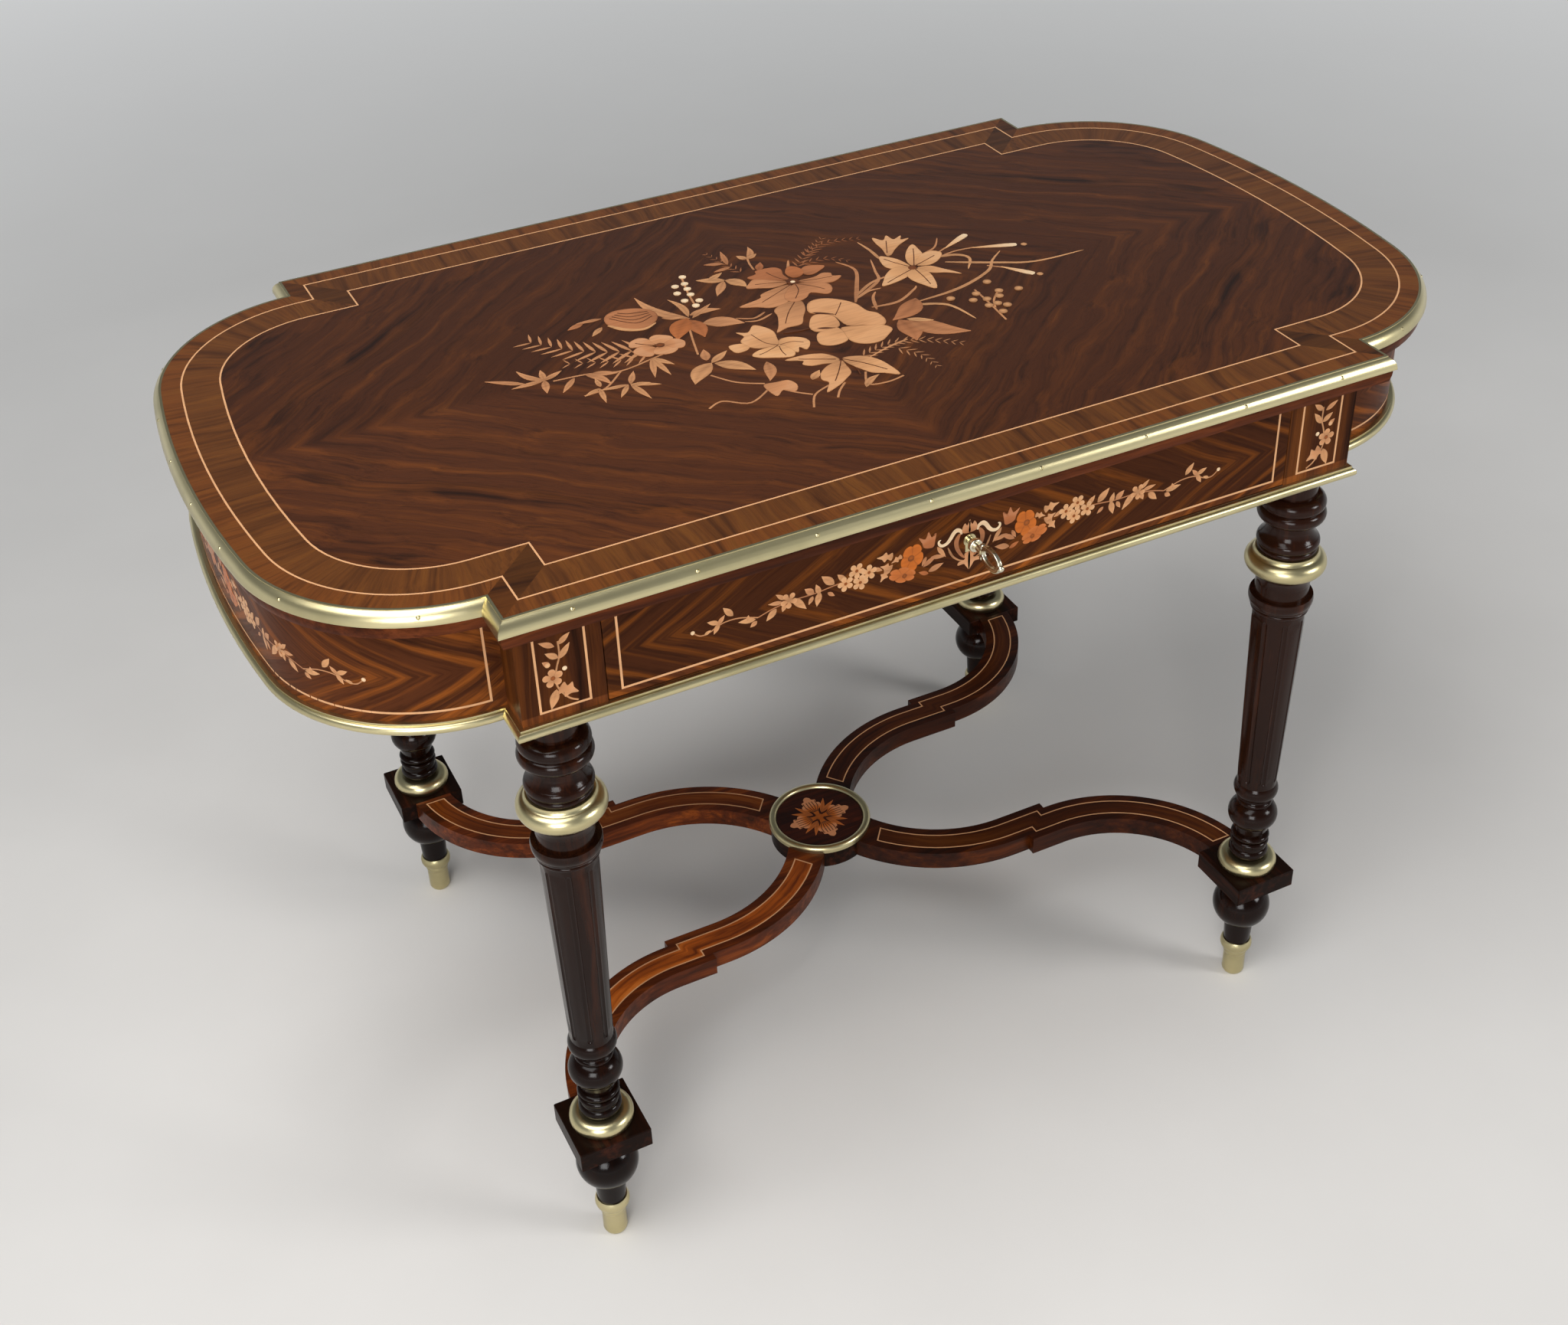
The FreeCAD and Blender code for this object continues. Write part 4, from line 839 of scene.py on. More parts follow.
class Sprays:
    """Leaf sprays that one node tree grows along their spines."""

    def __init__(self, material):
        drawing = Drawing()
        drawing.leaf((0, 0), (1, 0), 0.15, shade=(0.75, 0.92), vein=0.0)
        mesh = bpy.data.meshes.new("leaflet")
        mesh.from_pydata(drawing.points, [], drawing.faces)
        paint(mesh, drawing.tones)
        self.leaflet = new_object("leaflet", mesh)
        self.tree, self.sockets = spray_tree(self.leaflet, material)

    def grown(self, rows, spacing, lean, taper):
        """Drawing of sprays. A row is (leaflet length, warmth, points of the spine)."""
        points, edges, sizes, warmths = [], [], [], []
        for size, warmth, spine in rows:
            run = curve_through(spine)
            edges += [(len(points) + index, len(points) + index + 1) for index in range(len(run) - 1)]
            points += [(x, y, 0.0) for x, y in run]
            sizes += [size] * len(run)
            warmths += [warmth] * len(run)
        mesh = bpy.data.meshes.new("seed")
        mesh.from_pydata(points, edges, [])
        for key, numbers in (("size", sizes), ("warmth", warmths)):
            mesh.attributes.new(key, "FLOAT", "POINT").data.foreach_set("value", numbers)
        carrier = new_object("seed", mesh)
        modifier = carrier.modifiers.new("Grow", "NODES")
        modifier.node_group = self.tree
        for key, value in (("Spacing", spacing), ("Lean", math.radians(lean)), ("Taper", taper)):
            modifier[self.sockets[key]] = value
        apply_modifiers(carrier)
        result = carrier.data
        drawing = Drawing()
        drawing.points = [tuple(vertex.co) for vertex in result.vertices]
        drawing.faces = [tuple(polygon.vertices) for polygon in result.polygons]
        pairs = zip(result.attributes["tone"].data, result.attributes["warmth"].data)
        drawing.tones = [(tone.color[0], warmth.value) for tone, warmth in pairs]
        bpy.data.objects.remove(carrier)
        return drawing

    def clear(self):
        bpy.data.objects.remove(self.leaflet)


class LobedPlan:
    """Outline of the top or apron in millimetres: straight middle, steps, and a rounded lobe at each end."""

    # Where the map of a band starts again: on the other half, and after each run
    half_shift = 7000
    run_shift = 500
    # A shorter step is left out.
    shortest = 1e-4
    corner_steps = 24
    bow_steps = 40

    def __init__(self, break_half, front_half, end_half, corner_radius, bow_radius):
        self.break_half = break_half
        self.front_half = front_half
        self.lobe_half = front_half - STEP
        self.corner_radius = corner_radius
        self.bow_radius = bow_radius
        self.corner_y = self.lobe_half - corner_radius
        self.bow_x = end_half - bow_radius
        self.corner_x = self.bow_x + math.sqrt((bow_radius - corner_radius) ** 2 - self.corner_y ** 2)
        self.turn = math.atan2(self.corner_y, self.corner_x - self.bow_x)
        self.bow_run = bow_radius * self.turn
        self.corner_run = corner_radius * (math.pi / 2 - self.turn)

    def half_runs(self, inset):
        """Straight and round runs of the front and the right end, each a list of points."""
        x = self.break_half - inset
        y = self.front_half - inset
        corner = self.corner_radius - inset
        lobe_y = self.lobe_half - inset
        first = -math.pi / 2
        if x > self.corner_x:
            first = -math.acos((x - self.corner_x) / corner)
            lobe_y = self.corner_y + corner * math.sin(-first)
        runs = [
            self.line((-x, -y), (x, -y)),
            self.line((x, -y), (x, -lobe_y)),
            self.line((x, -lobe_y), (max(x, self.corner_x), -lobe_y)),
            self.arc((self.corner_x, -self.corner_y), corner, first, -self.turn, self.corner_steps),
            self.arc((self.bow_x, 0), self.bow_radius - inset, -self.turn, self.turn, self.bow_steps),
            self.arc((self.corner_x, self.corner_y), corner, self.turn, -first, self.corner_steps),
        ]
        for run in (runs[2], runs[1]):
            runs.append([(a, -b) for a, b in reversed(run)])
        return runs

    @staticmethod
    def line(a, b, steps=8):
        return [tuple(p + (q - p) * step / steps for p, q in zip(a, b)) for step in range(steps + 1)]

    @staticmethod
    def arc(centre, radius, start, end, steps):
        turns = [start + (end - start) * step / steps for step in range(steps + 1)]
        return [(centre[0] + radius * math.cos(turn), centre[1] + radius * math.sin(turn)) for turn in turns]

    def band(self, outer, inner):
        """Points, faces and strip map of a flat band between two insets, mitred at its corners."""
        points, faces, strip = [], [], []
        travel = 0.0
        for outer_run, inner_run in zip(self.half_runs(outer), self.half_runs(inner)):
            for index in range(len(outer_run) - 1):
                sides = [(Vector(run[index]), Vector(run[index + 1])) for run in (outer_run, inner_run)]
                run = max((side[1] - side[0] for side in sides), key=lambda step: step.length)
                if run.length < self.shortest:
                    continue
                heading = run.normalized()
                quad = [sides[0][0], sides[0][1], sides[1][1], sides[1][0]]
                if (quad[1] - quad[0]).length < self.shortest:
                    quad = quad[1:]
                for half in (1, -1):
                    faces.append(tuple(range(len(points), len(points) + len(quad))))
                    for spot in quad:
                        points.append(tuple(spot * half))
                        offset = spot - quad[0]
                        along = travel + offset.dot(heading) + (half < 0) * self.half_shift
                        across = heading.x * offset.y - heading.y * offset.x
                        strip.append((along * MM, across * MM))
                travel += run.length
            travel += self.run_shift
        return points, faces, strip

    def end_place(self, along):
        """Point and outward direction on the right end, by the distance from its middle towards the back."""
        side = 1 if along >= 0 else -1
        reach = abs(along)
        if reach <= self.bow_run:
            turn = reach / self.bow_radius
            x, y = self.bow_x + self.bow_radius * math.cos(turn), self.bow_radius * math.sin(turn)
        elif reach <= self.bow_run + self.corner_run:
            turn = self.turn + (reach - self.bow_run) / self.corner_radius
            x, y = (
                self.corner_x + self.corner_radius * math.cos(turn),
                self.corner_y + self.corner_radius * math.sin(turn),
            )
        else:
            turn = math.pi / 2
            x, y = self.corner_x - (reach - self.bow_run - self.corner_run), self.lobe_half
        return Vector((x, y * side)), Vector((math.cos(turn), math.sin(turn) * side))

    def end_half_length(self):
        return self.bow_run + self.corner_run + max(0.0, self.corner_x - self.break_half)


TOP_PLAN = LobedPlan(
    BRASS_HIGH.x - BRASS_DEPTH, EDGE_HIGH.y, EDGE_HIGH.x, corner_radius=152.0, bow_radius=1016.0
)
APRON_PLAN = LobedPlan(POST_HIGH.x, APRON_FRONT, END_HIGH.x, corner_radius=144.0, bow_radius=1010.0)


# Places for drawings: x to the right and y up as seen from outside, and a height off the surface


def on_level(level):
    """Place of a drawing that lies flat at a height."""
    def place(x, y, height):
        return Vector((x, y, level + height)) * MM
    return place


on_top = on_level(TOP_Z)
on_stretcher = on_level(STRETCHER_Z)
on_medallion = on_level(MEDALLION_HIGH.z)


def on_front(x, y, height):
    return Vector((x, -APRON_FRONT - height, y)) * MM


def on_back(x, y, height):
    return Vector((-x, APRON_FRONT + height, y)) * MM


def on_right_end(x, y, height):
    place, out = APRON_PLAN.end_place(x)
    return Vector((place.x + out.x * height, place.y + out.y * height, y)) * MM


def on_left_end(x, y, height):
    place = on_right_end(x, y, height)
    return Vector((-place.x, -place.y, place.z))


class TABLE_OT_woods(bpy.types.Operator):
    """Give every wooden CAD node its wood, with the grain the way the piece was cut"""

    bl_idname = "table.woods"
    bl_label = "Woods"

    def execute(self, context):
        tones = context.scene.table_colours
        field = {"flame": 80, "streak": 11, "fire": 0.3, "ripple": 34}
        # The four leaves of the top carry painted sheen, the front-left one lightest.
        dress(rosewood("rosewood_top", top_grain, leaves=book_match_and_sheen, **field), "top_field")
        apron = {"flame": 40, "streak": 6, "fire": 0.8, "polish": 0.03}
        drawer = rosewood("rosewood_drawer", drawer_grain, leaves=apron_foot(0.86), ripple=10, **apron)
        dress(drawer, "drawer_front", "back_panel")
        ends = rosewood("rosewood_ends", end_grain, leaves=apron_foot(1.35), ripple=16, **apron)
        dress(ends, "end_panel_left", "end_panel_right")
        posts = rosewood("rosewood_posts", UPRIGHT, leaves=apron_foot(0.86), polish=0.03)
        dress(posts, *four("post"))
        # Rosewood rails run lengthwise and are plainer than the veneers.
        plain = (tones.band_dark, tones.rosewood_mid, tones.band_light)
        rail = {"streak": 5, "run": 200, "flame": 25}
        rails = figured_wood("rosewood_rail", LENGTHWISE, plain, **rail)
        dress(rails, "drawer_top_rail", "drawer_bottom_rail")
        # The moulding under the brass is redder.
        red = shades("#32170b", "#522712", "#6e381b")
        moulding = figured_wood("moulding_rosewood", LENGTHWISE, red, polish=0.04, **rail)
        dress(moulding, "under_moulding")
        # Walnut of the stretcher's arms: grain along the table.
        walnut = shades("#240e04", "#451c07", "#6a320d")
        # Painted light: the arms on the left are lighter and the right pair darker.
        painted_arm_light = arm_painted_light(right=0.6, left=1.7, near=1.5)
        stretcher = {"streak": 5, "run": 140, "flame": 25}
        arms = figured_wood("stretcher_walnut", LENGTHWISE, walnut, leaves=painted_arm_light, **stretcher)
        dress(arms, *four("stretcher_arm"))
        # Walnut of the blocks and the hub, stained almost black.
        stained = shades("#120805", "#180b06", "#3c1b0e")
        blocks = figured_wood("block_walnut", DEPTHWISE, stained, polish=0.05, **stretcher)
        dress(blocks, *four("stretcher_block"), "hub")
        dress(turned_walnut(), *four("leg"), *four("foot"))
        # Medallion of dark rosewood under the rosette.
        dark = shades("#1d0b06", "#351408", "#52220e")
        medallion = figured_wood("medallion_rosewood", LENGTHWISE, dark, streak=5, run=120, flame=30)
        dress(medallion, "hub_medallion")
        # Quarter-sawn oak of the drawer and carcase: open straight grain, oiled and dull.
        oak = shades("#7d5a36", "#a67f52", "#bf9a6c")
        sawn = {"streak": 3, "run": 120, "flame": 40, "pores": 0.5, "roughness": 0.55, "polish": 0.1}
        lengthwise = figured_wood("oak_lengthwise", LENGTHWISE, oak, **sawn)
        depthwise = figured_wood("oak_depthwise", DEPTHWISE, oak, **sawn)
        dress(lengthwise, "top_board", "drawer_back", "drawer_stops")
        dress(depthwise, "drawer_bottom", "drawer_kickers", "drawer_side_left", "drawer_side_right")
        dress(depthwise, "drawer_runner_left", "drawer_runner_right")
        dress(boxwood_string(), "top_strings")
        return {"FINISHED"}


class TABLE_OT_leg_rings(bpy.types.Operator):
    """Turn the fine rings between the ball of each leg and its brass cup"""

    bl_idname = "table.leg_rings"
    bl_label = "Leg rings"

    # Height of the middle, half height and radius of each ring
    rings = ((194.4, 3.4, 19.2), (187.0, 3.4, 19.2), (174.0, 5.6, 19.8))
    swell = 5.0
    sides = 48
    steps = 16

    def execute(self, context):
        points, faces = [], []
        for x, y in ((LEG_X, LEG_Y), (-LEG_X, LEG_Y), (LEG_X, -LEG_Y), (-LEG_X, -LEG_Y)):
            for height, half, radius in self.rings:
                first = len(points)
                for side in range(self.sides):
                    turn = 2 * math.pi * side / self.sides
                    here = first + side * self.steps
                    after = first + (side + 1) % self.sides * self.steps
                    for step in range(self.steps):
                        slope = 2 * math.pi * step / self.steps
                        reach = radius - self.swell + self.swell * math.cos(slope)
                        spot = (x + reach * math.cos(turn), y + reach * math.sin(turn))
                        points.append(Vector((*spot, height + half * math.sin(slope))) * MM)
                        up = (step + 1) % self.steps
                        faces.append((here + step, after + step, after + up, here + up))
        wood = bpy.data.materials["ebonised_walnut"]
        piece = new_piece("leg_rings", points, faces, wood, TABLE, "dark_turned_wood")
        piece.data.shade_smooth()
        return {"FINISHED"}


class TABLE_OT_metals(bpy.types.Operator):
    """Give the brass mouldings, turnings, lock and key their metals"""

    bl_idname = "table.metals"
    bl_label = "Metals"

    def execute(self, context):
        tones = context.scene.table_colours
        # Cast brass, polished by hand: pale gold with sharp highlights and tarnish in clouds.
        brass = metal("polished_brass", tones.brass, tones.brass_dull, roughness=0.27, tarnish=0.5)
        sides = ("front", "back", "left", "right")
        edges = ["%s_%s" % (part, side) for part in ("top_brass", "foot_brass") for side in sides]
        dress(brass, *edges, "moulding_pins", "leg_collars", "leg_cups", "ferrules", "hub_ring", "escutcheon")
        # Blued steel of the lock: grey, rubbed bright on the bolt.
        steel = metal("lock_steel", *shades("#8f8e8c", "#4d4843"), roughness=0.35, tarnish=0.7)
        dress(steel, "lock_case", "lock_screws", "lock_bolt")
        # Nickelled key: silvery, with worn yellow patches.
        worn = linear("#a58e5e")
        dress(metal("nickelled_key", tones.key_metal, worn, roughness=0.22, tarnish=0.5), "key")
        return {"FINISHED"}


class TABLE_OT_bands(bpy.types.Operator):
    """Lay the cross-grained bands round the top, mitred at the steps"""

    bl_idname = "table.bands"
    bl_label = "Cross-grained bands"

    def execute(self, context):
        sizes = context.scene.table_inlay
        tones = context.scene.table_colours
        half = sizes.top_string / MM / 2
        outer = sizes.outer_string / MM
        inner = sizes.inner_string / MM
        bands = {
            "top_edge_band": (0.0, outer - half, tones.rosewood_light, "rosewood_edge"),
            "top_crossband": (outer + half, inner - half, tones.band_body, "crossband"),
        }
        veneer = EDGE_HIGH.z - EDGE_LOW.z
        for node, (start, end, shade, slot) in bands.items():
            points, faces, strip = TOP_PLAN.band(start, end)
            laid = [on_top(x, y, 0.0) for x, y in points]
            material = crossbanding(node + "_rosewood", shade)
            piece = new_piece(node + "_veneer", laid, faces, material, TABLE, slot, None, strip, veneer * MM)
            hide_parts(node)
        return {"FINISHED"}


def ribbon(drawing, points, width):
    """Closed flat line of stringing through the points, mitred at its corners."""
    first = len(drawing.points)
    total = len(points)
    sharpest = 0.4
    for index in range(total):
        before, here, after = (Vector(points[(index + shift) % total]) for shift in (-1, 0, 1))
        arrive = (here - before).normalized() if (here - before).length else (after - here).normalized()
        leave = (after - here).normalized() if (after - here).length else arrive
        across = Vector((-arrive.y - leave.y, arrive.x + leave.x)).normalized()
        reach = width / 2 / max(sharpest, across.dot(Vector((-arrive.y, arrive.x))))
        for side in (1, -1):
            spot = here + across * reach * side
            drawing.points.append((spot.x, spot.y, 0.0))
        a = first + 2 * index
        b = first + 2 * ((index + 1) % total)
        drawing.faces.append((a, a + 1, b + 1, b))


def rectangle(x0, x1, z0, z1, step=8.0):
    """Corners of an upright rectangle with points along its long sides, so that it can follow a curve."""
    count = max(1, round((x1 - x0) / step))
    low = [(x0 + (x1 - x0) * index / count, z0) for index in range(count + 1)]
    return low + [(x, z1) for x, _ in reversed(low)]


class TABLE_OT_strings(bpy.types.Operator):
    """Let the light lines of stringing into the drawer, pilasters, ends and back"""

    bl_idname = "table.strings"
    bl_label = "Strings"

    foot_z = 642.0
    drawer_head_z = 712.0
    head_z = 717.0
    drawer_half = 306.0
    pilaster_inner = 332.0
    pilaster_outer = 372.5
    end_margin = 12.0
    end_step = 6.0

    def execute(self, context):
        width = context.scene.table_inlay.string_width / MM
        wood = bpy.data.materials["boxwood_string"]
        long_frame = [rectangle(-self.drawer_half, self.drawer_half, self.foot_z, self.drawer_head_z)]
        spans = ((self.pilaster_inner, self.pilaster_outer), (-self.pilaster_outer, -self.pilaster_inner))
        pilasters = [rectangle(*span, self.foot_z, self.head_z) for span in spans]
        end_half = APRON_PLAN.end_half_length() - self.end_margin
        end_frame = [rectangle(-end_half, end_half, self.foot_z, self.head_z, self.end_step)]
        for name, outlines, place, body in (
            ("drawer_string", long_frame, on_front, DRAWER),
            ("back_string", long_frame, on_back, TABLE),
            ("front_pilaster_strings", pilasters, on_front, TABLE),
            ("back_pilaster_strings", pilasters, on_back, TABLE),
            ("right_end_string", end_frame, on_right_end, TABLE),
            ("left_end_string", end_frame, on_left_end, TABLE),
        ):
            drawing = Drawing()
            for outline in outlines:
                ribbon(drawing, outline, width)
            drawing.piece(name, place, wood, body, "boxwood")
        return {"FINISHED"}


class ArmLine:
    """Lines of a stretcher arm, in the quarter at +X +Y, by their offset from its middle line."""

    run_y = 108.0
    run_length = 56.0
    break_rise = 8.0
    break_slant = 36.0
    break_shift = 7.0
    outer_radius = 135.0
    half_width = 19.0
    root_radius = 36.0
    root_angle = math.radians(41.8)
    hub_reach = 66.0
    block_gap = 6.0
    root_steps = 40
    bend_steps = 24

    def points(self, offset):
        """Points from the hub to the block along the line at that offset."""
        outer_x = LEG_X - self.outer_radius
        run_x = outer_x - self.run_length
        break_y = self.run_y + self.break_rise
        root = (self.root_radius * math.cos(self.root_angle), self.root_radius * math.sin(self.root_angle))
        heading = 2 * math.atan2(self.run_y - root[1], run_x - root[0])
        radius = (run_x - root[0]) / math.sin(heading)
        centre_y = self.run_y - radius
        line = []
        for index in range(self.root_steps + 1):
            turn = heading * (1 - index / self.root_steps)
            x = run_x - (radius + offset) * math.sin(turn)
            y = centre_y + (radius + offset) * math.cos(turn)
            if math.hypot(x, y) > self.hub_reach:
                line.append((x, y))
        slant = offset * self.break_slant / (2 * self.half_width)
        step_x = run_x + self.run_length / 2 + self.break_shift - slant
        line.append((step_x, self.run_y + offset))
        line.append((step_x, break_y + offset))
        arm_end = LEG_Y - (BLOCK_HIGH.y - BLOCK_LOW.y) / 2 - self.block_gap
        arc_y = break_y + self.outer_radius
        bend = self.outer_radius - offset
        last = math.acos((arc_y - arm_end) / bend)
        for index in range(self.bend_steps + 1):
            turn = last * index / self.bend_steps
            line.append((outer_x + bend * math.sin(turn), arc_y - bend * math.cos(turn)))
        return line


class TABLE_OT_arm_veneers(bpy.types.Operator):
    """Lay the warm veneer and its light lines along the four stretcher arms"""

    bl_idname = "table.arm_veneers"
    bl_label = "Arm veneers"

    # Points along a strip, its width on the map, its height, and the space between the maps of two arms
    count = 60
    map_width = 19
    proud = 0.04
    apart = 1.7

    def execute(self, context):
        sizes = context.scene.table_inlay
        tones = context.scene.table_colours
        offset = sizes.arm_string / MM
        inner = ArmLine().points(-offset)
        outer = ArmLine().points(offset)
        lines = Drawing()
        ribbon(lines, inner + outer[::-1], sizes.arm_line / MM)
        every = Drawing()
        strip_points, strip_faces, strip = [], [], []
        rows = [self.evenly(line) for line in (inner, outer)]
        for side in (-1, 1):
            for depth in (-1, 1):
                every.extend(lines, lambda x, y, s=side, d=depth: (x * s, y * d), side * depth < 0)
                self.strip_quads(rows, side, depth, strip_points, strip_faces, strip)
        every.piece("arm_strings", on_stretcher, bpy.data.materials["boxwood_string"], TABLE, "boxwood")
        # Walnut veneer between the strings, grain along the arm: lighter and more orange than the edges.
        warm = (linear("#4a1f08"), tones.arm_warm, linear("#a25a20"))
        # Painted light: the veneer of the left arms is lighter, most on the near one, and of the right pair
        # darker.
        painted_arm_light = arm_painted_light(right=0.28, left=0.75, near=1.9)
        figure = {"streak": 4, "run": 130, "flame": 18}
        material = figured_wood("arm_veneer", path_grain, warm, leaves=painted_arm_light, **figure)
        laid = [on_stretcher(x, y, self.proud) for x, y in strip_points]
        thickness = sizes.inlay_thickness
        new_piece(
            "arm_veneers", laid, strip_faces, material, TABLE, "stretcher_wood", None, strip, thickness
        )
        return {"FINISHED"}

    def evenly(self, line):
        """The line resampled to evenly spaced points."""
        lengths = [0.0]
        for a, b in zip(line, line[1:]):
            lengths.append(lengths[-1] + math.dist(a, b))
        spots = []
        index = 0
        for step in range(self.count + 1):
            target = lengths[-1] * step / self.count
            while index < len(line) - 2 and lengths[index + 1] < target:
                index += 1
            share = (target - lengths[index]) / max(1e-6, lengths[index + 1] - lengths[index])
            a, b = line[index], line[index + 1]
            spots.append((a[0] + (b[0] - a[0]) * share, a[1] + (b[1] - a[1]) * share))
        return spots

    def strip_quads(self, rows, side, depth, points, faces, strip):
        """Quads between the two strings of one arm, with a map that runs along it."""
        first = len(points)
        inner, outer = rows
        for a, b in zip(inner, outer):
            points += [(a[0] * side, a[1] * depth), (b[0] * side, b[1] * depth)]
        shift = (side + 2 * depth) * self.apart
        width = self.map_width
        run = 0.0
        for index in range(len(inner) - 1):
            a = first + 2 * index
            quad = [a, a + 2, a + 3, a + 1]
            step = math.dist(inner[index], inner[index + 1])
            map_points = [(run, 0), (run + step, 0), (run + step, width), (run, width)]
            if side * depth < 0:
                quad.reverse()
                map_points.reverse()
            faces.append(tuple(quad))
            strip += [(u * MM + shift, v * MM) for u, v in map_points]
            run += step


